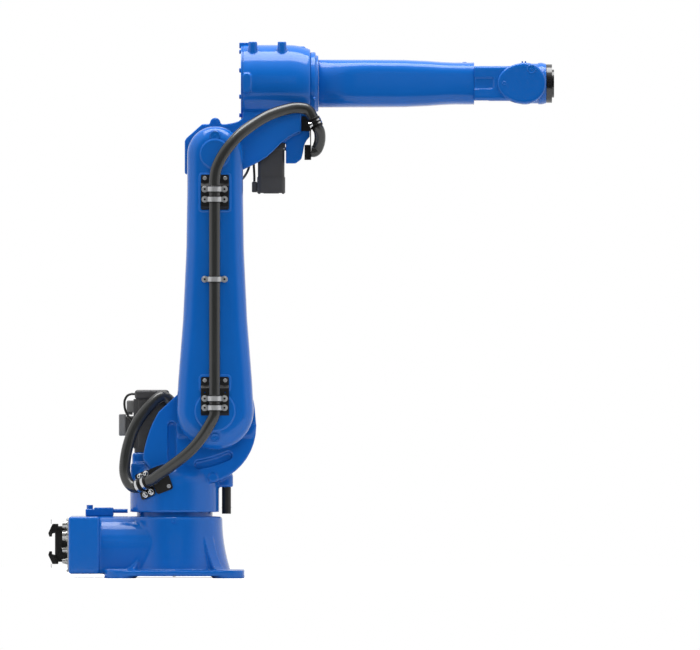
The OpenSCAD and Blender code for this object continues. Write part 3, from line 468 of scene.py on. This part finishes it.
def facing(place, direction):
    """A matrix at a place whose Z axis points along a direction."""
    turn = Vector(direction).to_track_quat("Z", "Y").to_matrix().to_4x4()
    return Matrix.Translation(Vector(place)) @ turn


def hexagon_radii(corner, sides):
    """The radius of a hexagon in each of the directions of a turned shape."""
    half = math.pi / 6
    turns = [(2 * math.pi * k / sides) % (2 * half) - half for k in range(sides)]
    return [corner * math.cos(half) / math.cos(turn) for turn in turns]


def add_cap_screw(bm, place, radius, height, floor=0.45):
    """A socket-head screw: a round head with a sloped rim and a hexagonal socket down to a share of it."""
    rim = radius * SCREW_RIM
    socket = hexagon_radii(radius * SCREW_SOCKET, SCREW_SIDES)
    add_turned(bm, [(0, -SCREW_SINK), (radius, -SCREW_SINK), (radius, height - rim), (radius - rim, height),
                    (socket, height), (socket, height * floor), (0, height * floor)], place, SCREW_SIDES)


def add_button(bm, place, radius, height, rim=1.0, sink=1.0):
    """A low round boss or plug with a rounded rim, sunk a little into what carries it."""
    add_turned(bm, [(0, -sink), (radius, -sink), (radius, height - rim),
                    (radius - 0.3 * rim, height - 0.3 * rim), (radius - rim, height), (0, height)], place)


def add_ringed_plug(bm, place, radius):
    """A plug with a sloped rim, a flat face and a small raised centre."""
    centre = radius * 0.3
    add_turned(bm, [(0, -2.0), (radius + 0.6, -2.0), (radius + 0.6, 0.2), (radius - 0.8, 1.4),
                    (radius - 2.2, 0.5), (centre, 0.5), (centre - 1.0, 1.5), (0, 1.5)], place)


def add_block(bm, low, high, rounding):
    """A block between two corners with rounded edges."""
    low, high = Vector(low), Vector(high)
    place = Matrix.Translation((low + high) / 2) @ Matrix.Diagonal((*(high - low), 1))
    made = bmesh.ops.create_cube(bm, size=1.0, matrix=place)
    edges = list({edge for vert in made["verts"] for edge in vert.link_edges})
    bmesh.ops.bevel(bm, geom=edges, offset=rounding, segments=3, profile=0.5, affect="EDGES")


def add_rod(bm, start, stop, radius, sides=20):
    """A round bar between two places."""
    add_tube(bm, [Vector(start), Vector(stop)], radius, sides)


def add_plate(bm, *rows):
    """A plate that stands across Y: a skin through rows of (outline in XZ, Y), closed at both ends."""
    rings = [[bm.verts.new((x, y, z)) for x, z in outline] for outline, y in rows]
    for one, other in zip(rings, rings[1:]):
        for k in range(len(one)):
            following = (k + 1) % len(one)
            bm.faces.new((one[k], other[k], other[following], one[following]))
    bm.faces.new(rings[0])
    bm.faces.new(rings[-1][::-1])


# Dress hose and leads

HOSE_SIDES, LEAD_SIDES = 28, 12
TUBE_STEPS, PATH_STEPS = 6, 12


def hose_piece(name, points, node, body, diameter=HOSE_D, sides=HOSE_SIDES):
    """A length of hose or lead in place of its CAD tube."""
    bm = bmesh.new()
    add_tube(bm, spline(points, TUBE_STEPS), diameter / 2, sides)
    piece = make_piece(name, bm, body, RUBBER)
    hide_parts(node)
    return piece


def free_length(name, points, node, body, diameter=HOSE_D, sides=HOSE_SIDES):
    """A length that hangs free between two seats on one body."""
    piece = hose_piece(name, points, node, body, diameter, sides)


def dress_hose():
    """The hose in five lengths that meet at its clamps, and the motors' leads."""
    free_length("dress_hose_loop", LOOP_ROUTE, "hose_loop", "turntable")
    hose_piece("dress_hose_upright", ARM_ROUTE, "hose_lower_arm", "lower_arm")
    hose_piece("dress_hose_end", ELBOW_END_ROUTE, "hose_elbow_end", "elbow")
    for name, points, node, bodies in (
            ("dress_hose_shoulder", SHOULDER_ROUTE, "hose_shoulder_span", ("turntable", "lower_arm")),
            ("dress_hose_elbow", ELBOW_ROUTE, "hose_elbow_span", ("lower_arm", "elbow"))):
        piece = hose_piece(name, points, node, None)
        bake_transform(piece)
    free_length("motor_lead_turning", LEAD1_ROUTE, "axis1_motor_lead", "turntable",
                LEAD_D, LEAD_SIDES)
    for name, points in zip(("motor_lead_forearm", "motor_lead_elbow"), LEAD4_ROUTES):
        free_length(name, points, "axis4_motor_leads", "elbow", LEAD_D, LEAD_SIDES)


# Clamps

LINER_BORE = 15.5
LINER_R = 17.9
LINER_HALF = CLAMP_W / 2 + 3.0
LINER_ROUND = 0.8
LINER_SIDES = 36
THICK_LINER_R = 18.8
END_LINER_HALF = 14.0
STRAP_R = 20.0
STRAP_T = 1.6
END_STRAP_W = 4.4
END_STRAP_SHIFTS = (-4.6, 4.6)
DRUM_STRAP_W = 8.0
CLAMP_EAR = 28.0
EAR_R, EAR_T, EAR_RIM = 9.5, 3.0, 0.6
EAR_SCREW_R, EAR_SCREW_H, EAR_SOCKET_FLOOR = 6.8, 6.4, 0.68
DRUM_EAR_R, DRUM_SCREW_R = 8.6, 6.0
# A black hexagon at the floor of each clamp screw's socket: painted shade for the recess.
SOCKET_SHADE_R = 3.2
SOCKET_SHADE_LOW, SOCKET_SHADE_HIGH = -0.2, 0.3


def add_liner(bm, centre, along, half=LINER_HALF, radius=LINER_R):
    """The rubber lining of a clamp, which stands out on both sides of its band."""
    shoulder = radius - LINER_ROUND
    add_turned(bm, [(LINER_BORE, -half), (shoulder, -half), (radius, LINER_ROUND - half),
                    (radius, half - LINER_ROUND), (shoulder, half), (LINER_BORE, half)],
               facing(centre, along), LINER_SIDES, closed=True)


def clamp_liners():
    """The black linings of all the clamps, body by body."""
    bm = bmesh.new()
    for z in ARM_CLAMPS_Z:
        add_liner(bm, (HOSE_LOW.x, HOSE_LOW.y, z), (0, 0, 1))
    make_piece("clamp_liners_lower_arm", bm, "lower_arm", PLASTIC)
    bm = bmesh.new()
    for along in DRUM_CLAMPS:
        add_liner(bm, drum_hose(along), drum_hose(1) - drum_hose(0), radius=THICK_LINER_R)
    make_piece("clamp_liners_turntable", bm, "turntable", PLASTIC)
    bm = bmesh.new()
    add_liner(bm, end_point(END_CLAMP), end_point(1) - end_point(0), END_LINER_HALF, THICK_LINER_R)
    make_piece("clamp_liner_elbow", bm, "elbow", PLASTIC)


def strap_line(radius):
    """A clamp strap's outline across the hose: a foot, an arch and a foot."""
    arch = [math.radians(a) for a in range(-90, 91, 10)]
    foot = EAR_T - (STRAP_R - radius)
    return [(foot, -CLAMP_EAR), (foot, -radius),
            *[(HOSE_SEAT + radius * math.cos(a), radius * math.sin(a)) for a in arch],
            (foot, radius), (foot, CLAMP_EAR)]


def add_strap(bm, place, shift, width):
    """A thin metal strap over the hose."""
    rows = []
    for (xi, yi), (xo, yo) in zip(strap_line(STRAP_R - STRAP_T), strap_line(STRAP_R)):
        low, high = shift - width / 2, shift + width / 2
        rows.append([bm.verts.new(place @ Vector(corner)) for corner in (
            (xi, yi, low), (xo, yo, low), (xo, yo, high), (xi, yi, high))])
    for one, other in zip(rows, rows[1:]):
        for k in range(4):
            bm.faces.new((one[k], one[(k + 1) % 4], other[(k + 1) % 4], other[k]))
    bm.faces.new(rows[0])
    bm.faces.new(rows[-1][::-1])


def add_screwed_ears(bm, place, ear_r, screw_r):
    """A clamp's two round ears, each with its screw."""
    for side in (-CLAMP_EAR, CLAMP_EAR):
        add_button(bm, place @ facing((0, side, 0), (1, 0, 0)), ear_r, EAR_T, EAR_RIM, 0.0)
        add_cap_screw(bm, place @ facing((EAR_T, side, 0), (1, 0, 0)), screw_r, EAR_SCREW_H)


def elbow_clamp():
    """The clamp at the elbow: two thin straps over one liner, on two screwed ears."""
    place = (Matrix.Translation(END_FOLD) @ Matrix.Rotation(-END_TILT, 4, "Y")
             @ Matrix.Translation((0, 0, END_CLAMP)))
    bm = bmesh.new()
    for shift in END_STRAP_SHIFTS:
        add_strap(bm, place, shift, END_STRAP_W)
    add_screwed_ears(bm, place, EAR_R, EAR_SCREW_R)
    piece = make_piece("elbow_clamp_straps", bm, "elbow", CHROME)
    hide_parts("elbow_hose_clamp")


def drum_clamps():
    """The two clamps on the drum: a narrow strap over a wide liner, on screwed ears."""
    along = drum_hose(1) - drum_hose(0)
    outward = Matrix.Rotation(DRUM_TURN, 3, "Z") @ Vector((0, -1, 0))
    turn = Matrix((outward, along.cross(outward), along)).transposed().to_4x4()
    bm = bmesh.new()
    for shift in DRUM_CLAMPS:
        place = Matrix.Translation(drum_hose(shift) - HOSE_SEAT * outward) @ turn
        add_strap(bm, place, 0.0, DRUM_STRAP_W)
        add_screwed_ears(bm, place, DRUM_EAR_R, DRUM_SCREW_R)
    piece = make_piece("drum_clamp_straps", bm, "turntable", CHROME)
    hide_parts("turntable_hose_clamps")


def arm_clamp_screws():
    """Socket screws on the ears of the lower arm's clamps, with a black hexagon on each socket's floor as
    painted shade.
    """
    ear_y = ARM_FACE - BRACKET_RISE - EAR_T
    floor = EAR_SCREW_H * EAR_SOCKET_FLOOR
    low, high = floor + SOCKET_SHADE_LOW, floor + SOCKET_SHADE_HIGH
    screws, socket_shade = bmesh.new(), bmesh.new()
    for z in ARM_CLAMPS_Z:
        for side in (-CLAMP_EAR, CLAMP_EAR):
            place = facing((HOSE_LOW.x + side, ear_y, z), (0, -1, 0))
            add_cap_screw(screws, place, EAR_SCREW_R, EAR_SCREW_H, EAR_SOCKET_FLOOR)
            # A thin black hexagon on each socket's floor: painted shade where the recess is dark.
            add_turned(socket_shade, [(0, low), (SOCKET_SHADE_R, low), (SOCKET_SHADE_R, high), (0, high)], place, 6)
    make_piece("clamp_screws", screws, "lower_arm", ZINC)
    make_piece("clamp_screw_socket_shade", socket_shade, "lower_arm", POWDER)


# Fasteners and small castings, body by body

BRACKET_SCREWS_X = (87, 145)
BRACKET_SCREWS_Z = (1137, 562.5)
SCREW_R, SCREW_H = 5.6, 4.0
PLUG_MARKS = (((116, ARM_FACE + 1.2, 1258), 14.0), ((116, ARM_FACE + 1.2, 401), 11.0))
PADS = ((73.5, 158.5, 1044, 1148.5), (74.0, 158.0, 534, 575.5))
PAD_CORNER = 6.0
PAD_SLOPE = ((0.0, 2.6), (0.6, 2.5), (4.0, 0.2), (5.0, -6.0))
BEAD_SLOPE = ((-3.0, -6.0), (-3.0, 0.1), (-1.4, 0.5), (0.0, 0.2), (2.3, -1.0), (4.6, -2.6), (4.6, -6.0))
BEAD_SIDES = 96


def rounded_outline(x0, x1, z0, z1, corner):
    """A rectangle's outline with round corners."""
    outline = []
    for k, (x, z) in enumerate(((x1 - corner, z1 - corner), (x0 + corner, z1 - corner),
                                (x0 + corner, z0 + corner), (x1 - corner, z0 + corner))):
        for a in (math.radians(90 * k + 15 * step) for step in range(7)):
            outline.append((x + corner * math.cos(a), z + corner * math.sin(a)))
    return outline


def add_pad(bm, x0, x1, z0, z1):
    """A raised pad on the lower arm's face, with round corners and a sloped rim."""
    rows = []
    for out, rise in PAD_SLOPE:
        outline = rounded_outline(x0 - out, x1 + out, z0 - out, z1 + out, PAD_CORNER + out)
        rows.append((outline, ARM_FACE - rise))
    add_plate(bm, *rows)


def add_disc_bead(bm, node):
    """A sloped bead round a cover disc, where it meets the casting."""
    low, high = (corner / MM for corner in map(Vector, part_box(node)))
    radius = (high.x - low.x) / 2
    centre = ((low.x + high.x) / 2, low.y, (low.z + high.z) / 2)
    add_turned(bm, [(radius + out, rise) for out, rise in BEAD_SLOPE], facing(centre, (0, -1, 0)),
               BEAD_SIDES, closed=True)


def lower_arm_trim():
    """Screws of the hose brackets and clamps, plugs, raised pads and beads round the cover discs."""
    bm = bmesh.new()
    for x in BRACKET_SCREWS_X:
        for z in BRACKET_SCREWS_Z:
            add_cap_screw(bm, facing((x, ARM_FACE - BRACKET_T, z), (0, -1, 0)), SCREW_R, SCREW_H)
    make_piece("hose_bracket_screws", bm, "lower_arm", ZINC)
    bm = bmesh.new()
    for place, radius in PLUG_MARKS:
        add_ringed_plug(bm, facing(place, (0, -1, 0)), radius)
    for pad in PADS:
        add_pad(bm, *pad)
    for disc in ("shoulder_cover_disc", "elbow_cover_disc"):
        add_disc_bead(bm, disc)
    make_piece("lower_arm_pads", bm, "lower_arm", BLUE)
    arm_clamp_screws()


PANEL_X = -304.0
PANEL_SCREWS = [(y, z) for y in (-116, 116) for z in (21, 167)]
PANEL_SCREW_R, PANEL_SCREW_H, PANEL_SCREW_RIM = 3.6, 3.2, 1.2
HOOD_SCREWS = ((-328.5, 124), (-328.5, 70))
HOOD_SCREW_PROFILE = [(0, -1), (4.4, -1), (4.4, 0.8), (3.4, 0.8), (3.0, 0.2), (0, 0.2)]
HOOD_FACE_Y = -28.0
HOOD_MIDDLE_Z = 96.0
LEVER_T, LEVER_ROUND = 5.0, 0.7
LEVER_OUTLINE = [
    (-332, 40), (-332, 57), (-348, 57), (-360, 31), (-357, 21), (-350, 21), (-350, 30), (-341, 31)]
LEVER_PINS = ((154, 166), (27, 39))
LEVER_PIN_X, LEVER_PIN_Y, LEVER_PIN_R = -351.5, -30.0, 0.9
GREASE_PLUG = (-1, -135.5, 160)
GREASE_PROFILE = [(0, -4), (6.5, -4), (6.5, 1.2), (5.5, 2), (3, 2), (2.4, 5), (0, 5.4)]
DRAIN_LOW, DRAIN_HIGH, DRAIN_R = (0, -196, 4.5), (0, -196, 7), 4.0


def locking_levers():
    """Hooked levers that hold the power connector's hood, one pair on each side."""
    bm = bmesh.new()
    for upright in (-1, 1):
        outline = [(x, HOOD_MIDDLE_Z + upright * z) for x, z in LEVER_OUTLINE]
        for side in (-1, 1):
            edge = side * -HOOD_FACE_Y
            add_plate(bm, (outline, edge), (outline, edge + side * LEVER_T))
    bmesh.ops.bevel(bm, geom=bm.edges[:], offset=LEVER_ROUND, segments=2, profile=0.5, affect="EDGES")
    piece = make_piece("connector_locking_levers", bm, "base", PLASTIC)
    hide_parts("connector_levers")


def base_trim():
    """Levers, screws and pins of the connector panel, and the plugs of the base casting."""
    locking_levers()
    bm = bmesh.new()
    for y, z in PANEL_SCREWS:
        add_button(bm, facing((PANEL_X, y, z), (-1, 0, 0)), PANEL_SCREW_R, PANEL_SCREW_H, PANEL_SCREW_RIM)
    for low, high in LEVER_PINS:
        add_rod(bm, (LEVER_PIN_X, LEVER_PIN_Y, low), (LEVER_PIN_X, LEVER_PIN_Y, high), LEVER_PIN_R, 8)
    make_piece("panel_screws", bm, "base", ZINC)
    bm = bmesh.new()
    for x, z in HOOD_SCREWS:
        add_turned(bm, HOOD_SCREW_PROFILE, facing((x, HOOD_FACE_Y, z), (0, -1, 0)))
    make_piece("connector_side_screws", bm, "base", PLASTIC)
    bm = bmesh.new()
    add_turned(bm, GREASE_PROFILE, facing(GREASE_PLUG, (0, -1, 0)))
    make_piece("base_grease_plug", bm, "base", BLUE)
    bm = bmesh.new()
    add_rod(bm, DRAIN_LOW, DRAIN_HIGH, DRAIN_R)
    make_piece("base_drain_plug", bm, "base", ZINC)


FOOT_TURN = math.radians(-10.8)
FOOT_FACE_R = 130.0
FOOT_Z = 287.0
FOOT_SCREWS = (-27, 27)
SHOULDER_PLUG = (110.5, -85, 286)
SHOULDER_PLUG_R, SHOULDER_PLUG_H, SHOULDER_PLUG_RIM, SHOULDER_PLUG_SINK = 12.2, 3.0, 2.4, 4.0
PIN_GROOVE = (147.5, 0, 200.0)
PIN_RING_PROFILE = [(12.0, -1.2), (13.4, -1.2), (13.6, -0.8), (13.6, 0.8), (13.4, 1.2), (12.0, 1.2)]
MOTOR1_RIBS = (((-117.5, -9.0, 368.0), (-100.0, -2.5, 509.0)), ((-117.5, 72.5, 368.0), (-100.0, 79.0, 509.0)))
MOTOR1_RIB_ROUND = 1.5
MOTOR1_PLUG_BACK = ((-141.0, 17.0, 406.0), (-110.0, 53.0, 456.0))
MOTOR1_PLUG_ROUND = 2.0


def turntable_trim():
    """Screws of the drum's hose bracket, stop pin ring, shoulder plug and turning motor fittings."""
    bm = bmesh.new()
    turn = Matrix.Rotation(FOOT_TURN, 4, "Z")
    for along in FOOT_SCREWS:
        place = Vector((-along * math.sin(DRUM_TILT), -FOOT_FACE_R, FOOT_Z + along * math.cos(DRUM_TILT)))
        add_cap_screw(bm, facing(turn @ place, turn @ Vector((0, -1, 0))), SCREW_R, SCREW_H)
    make_piece("drum_bracket_screws", bm, "turntable", ZINC)
    bm = bmesh.new()
    add_turned(bm, PIN_RING_PROFILE, Matrix.Translation(PIN_GROOVE), closed=True)
    make_piece("stop_pin_ring", bm, "turntable", POWDER)
    bm = bmesh.new()
    add_button(bm, facing(SHOULDER_PLUG, (0, -1, 0)), SHOULDER_PLUG_R, SHOULDER_PLUG_H,
               SHOULDER_PLUG_RIM, SHOULDER_PLUG_SINK)
    make_piece("shoulder_plug", bm, "turntable", BLUE)
    bm = bmesh.new()
    for low, high in MOTOR1_RIBS:
        add_block(bm, low, high, MOTOR1_RIB_ROUND)
    add_block(bm, *MOTOR1_PLUG_BACK, MOTOR1_PLUG_ROUND)
    make_piece("turning_motor_fittings", bm, "turntable", MOTOR)


BARREL_BAR = ((184, -14, 1508), (213, 14, 1524.5))
BARREL_BAR_ROUND = 2.0
RING_MARK, RING_MARK_AIM = (397, -86, 1365), (0, -1, 0.5)
RING_MARK_R, RING_MARK_H, RING_MARK_RIM, RING_MARK_SINK = 3.5, 3.0, 1.0, 5.0
MOTOR4_SCREWS = [(x, y, 1096.0) for x in (241, 309) for y in (-34, 34)]
MOTOR4_SCREW_R, MOTOR4_SCREW_H, MOTOR4_SCREW_RIM = 3.4, 2.4, 0.8
MOTOR4_FOOT = ((253, -22, 1094.6), (297, 22, 1098))
MOTOR4_FOOT_ROUND = 0.6
MOTOR4_FLANGE = ((233, -42, 1217), (317, 42, 1227))
MOTOR4_FLANGE_ROUND = 1.0
FLANGE_SCREW = ((312, -41, 1222), (312, -44, 1222))
FLANGE_SCREW_R = 2.6


def elbow_trim():
    """The bar and mark on the barrel, and the fittings of the forearm motor."""
    bm = bmesh.new()
    add_block(bm, *BARREL_BAR, BARREL_BAR_ROUND)
    add_button(bm, facing(RING_MARK, RING_MARK_AIM), RING_MARK_R, RING_MARK_H, RING_MARK_RIM, RING_MARK_SINK)
    make_piece("elbow_marks", bm, "elbow", BLUE)
    bm = bmesh.new()
    for place in MOTOR4_SCREWS:
        add_button(bm, facing(place, (0, 0, -1)), MOTOR4_SCREW_R, MOTOR4_SCREW_H, MOTOR4_SCREW_RIM)
    add_block(bm, *MOTOR4_FOOT, MOTOR4_FOOT_ROUND)
    add_block(bm, *MOTOR4_FLANGE, MOTOR4_FLANGE_ROUND)
    make_piece("forearm_motor_fittings", bm, "elbow", MOTOR)
    bm = bmesh.new()
    add_rod(bm, *FLANGE_SCREW, FLANGE_SCREW_R)
    make_piece("forearm_motor_flange_screw", bm, "elbow", ZINC)


COVER_FACE_Y = 97.0
COVER_PLUGS = ((1016, 1448.5, 12.0), (938, 1408.5, 5.4))
WRIST_NUBS_X = (990, 999)
WRIST_NUB_Y, WRIST_NUB_LOW, WRIST_NUB_HIGH, WRIST_NUB_R = -77, 1455, 1471, 2.0
ZERO_MARK = ((820, -8, 1464), (832, 8, 1469.5))
ZERO_MARK_ROUND = 1.5
COLLAR_PROFILE = [
    (48, 1034), (56.5, 1034), (58.6, 1036), (59.4, 1039), (59.4, 1046), (58.6, 1050), (56.2, 1057.8),
    (48, 1057.8)]
COLLAR_SIDES = 72


def wrist_trim():
    """Plugs of the side covers, nubs and mark on the forearm, and the collar in front of the wrist."""
    bm = bmesh.new()
    for side in (-1, 1):
        for x, z, radius in COVER_PLUGS:
            add_ringed_plug(bm, facing((x, side * COVER_FACE_Y, z), (0, side, 0)), radius)
    for x in WRIST_NUBS_X:
        add_rod(bm, (x, WRIST_NUB_Y, WRIST_NUB_LOW), (x, WRIST_NUB_Y, WRIST_NUB_HIGH), WRIST_NUB_R, 12)
    add_block(bm, *ZERO_MARK, ZERO_MARK_ROUND)
    make_piece("forearm_marks", bm, "forearm", BLUE)
    bm = bmesh.new()
    add_turned(bm, COLLAR_PROFILE, facing((0, 0, AXIS4_Z), (1, 0, 0)), COLLAR_SIDES, closed=True)
    make_piece("wrist_collar", bm, "wrist", BLUE)


# Studio

LIGHT_AIM = (0.35, 0, 0.8)
TOP_PLACE, TOP_SIZE, TOP_POWER = (0.35, 0.0, 4.6), (4.0, 2.2), 205.0
FILL_PLACE, FILL_SIZE, FILL_POWER = (0.4, -6.5, 2.6), (4.0, 3.0), 150.0
AROUND, FRONT = 0.92, 0.02
FRONT_EDGE = (0.35, 0.88)
FLOOR_PLACE, FLOOR_R = (0.35, 0, -0.0005), 2.6
FLOOR_COLOUR = (0.62, 0.62, 0.62, 1)
FLOOR_GLOW = 0.7
WHITE = (1, 1, 1, 1)
CAMERA_REACH = 200


def area_light(name, place, size, power, in_gloss=True):
    """A rectangular light that aims at the middle of the arm."""
    data = bpy.data.lights.new(name, "AREA")
    data.shape = "RECTANGLE"
    data.size, data.size_y = size
    data.energy = power
    lamp = bpy.data.objects.new(name, data)
    lamp.location = place
    lamp.rotation_euler = (Vector(LIGHT_AIM) - Vector(place)).to_track_quat("-Z", "Y").to_euler()
    lamp.visible_glossy = in_gloss
    scene.collection.objects.link(lamp)


def studio_lights():
    """A strong softbox overhead, and a soft fill from the front that gloss doesn't show."""
    area_light("top_softbox", TOP_PLACE, TOP_SIZE, TOP_POWER)
    area_light("front_fill", FILL_PLACE, FILL_SIZE, FILL_POWER, in_gloss=False)


def camera_background(tree):
    """A mask of the rays that see the background as white: from the camera and through glass."""
    light_path = tree.nodes.new("ShaderNodeLightPath")
    return math_node(
        tree, "MAXIMUM", light_path.outputs["Is Camera Ray"], light_path.outputs["Is Transmission Ray"])


def studio_world():
    """A white room that is dark round the camera, so that flat faces stay deep and edges turn pale."""
    world = bpy.data.worlds.new("studio")
    scene.world = world
    world.use_nodes = True
    tree = world.node_tree
    tree.nodes.clear()
    output = tree.nodes.new("ShaderNodeOutputWorld")
    mix = tree.nodes.new("ShaderNodeMixShader")
    room = tree.nodes.new("ShaderNodeBackground")
    split = tree.nodes.new("ShaderNodeSeparateXYZ")
    tree.links.new(tree.nodes.new("ShaderNodeTexCoord").outputs["Generated"], split.inputs[0])
    towards_camera = math_node(tree, "MULTIPLY", split.outputs["Y"], -1.0)
    glow = map_range(tree, towards_camera, AROUND, FRONT, *FRONT_EDGE)
    tree.links.new(glow, room.inputs["Strength"])
    white = tree.nodes.new("ShaderNodeBackground")
    white.inputs["Color"].default_value = WHITE
    room.inputs["Color"].default_value = WHITE
    tree.links.new(camera_background(tree), mix.inputs["Fac"])
    tree.links.new(room.outputs[0], mix.inputs[1])
    tree.links.new(white.outputs[0], mix.inputs[2])
    tree.links.new(mix.outputs[0], output.inputs["Surface"])


def studio_floor():
    """A pale round floor that fades into the white background and keeps the shadow."""
    material = bpy.data.materials.new("pale_floor")
    material.use_nodes = True
    tree = material.node_tree
    shader = tree.nodes["Principled BSDF"]
    shader.inputs["Base Color"].default_value = FLOOR_COLOUR
    shader.inputs["Roughness"].default_value = 0.9
    shader.inputs["Specular IOR Level"].default_value = 0.0
    shader.inputs["Emission Color"].default_value = WHITE
    glow = math_node(tree, "MULTIPLY", camera_background(tree), FLOOR_GLOW)
    tree.links.new(glow, shader.inputs["Emission Strength"])
    bm = bmesh.new()
    bmesh.ops.create_circle(bm, cap_ends=True, radius=FLOOR_R, segments=96)
    mesh = bpy.data.meshes.new("floor")
    bm.to_mesh(mesh)
    bm.free()
    mesh.materials.append(material)
    floor = bpy.data.objects.new("floor", mesh)
    floor.location = FLOOR_PLACE
    scene.collection.objects.link(floor)


def photo_camera():
    """A distant camera that looks along Y and gives the photograph's scale and frame."""
    metres = MM_PER_PIXEL * MM
    data = bpy.data.cameras.new("camera")
    data.sensor_width = SENSOR_W
    data.lens = SENSOR_W * CAMERA_DISTANCE / (PHOTO_W * metres)
    data.clip_end = CAMERA_REACH
    camera = bpy.data.objects.new("camera", data)
    camera.location = ((PHOTO_W / 2 - ORIGIN_PIXEL[0]) * metres, -CAMERA_DISTANCE,
                       (ORIGIN_PIXEL[1] - PHOTO_H / 2) * metres)
    camera.rotation_euler = (math.radians(90), 0, 0)
    scene.collection.objects.link(camera)
    scene.camera = camera


photo_camera()
dress_hose()
clamp_liners()
elbow_clamp()
drum_clamps()
lower_arm_trim()
base_trim()
turntable_trim()
elbow_trim()
wrist_trim()
finish_nodes()
for casting, voxel, passes in CAST_SKINS:
    cast_surface(casting, voxel, passes)
for hard_piece, width in EDGE_BREAKS:
    broken_edges(hard_piece, width)
studio_lights()
studio_world()
studio_floor()
scene.view_settings.view_transform = "Standard"
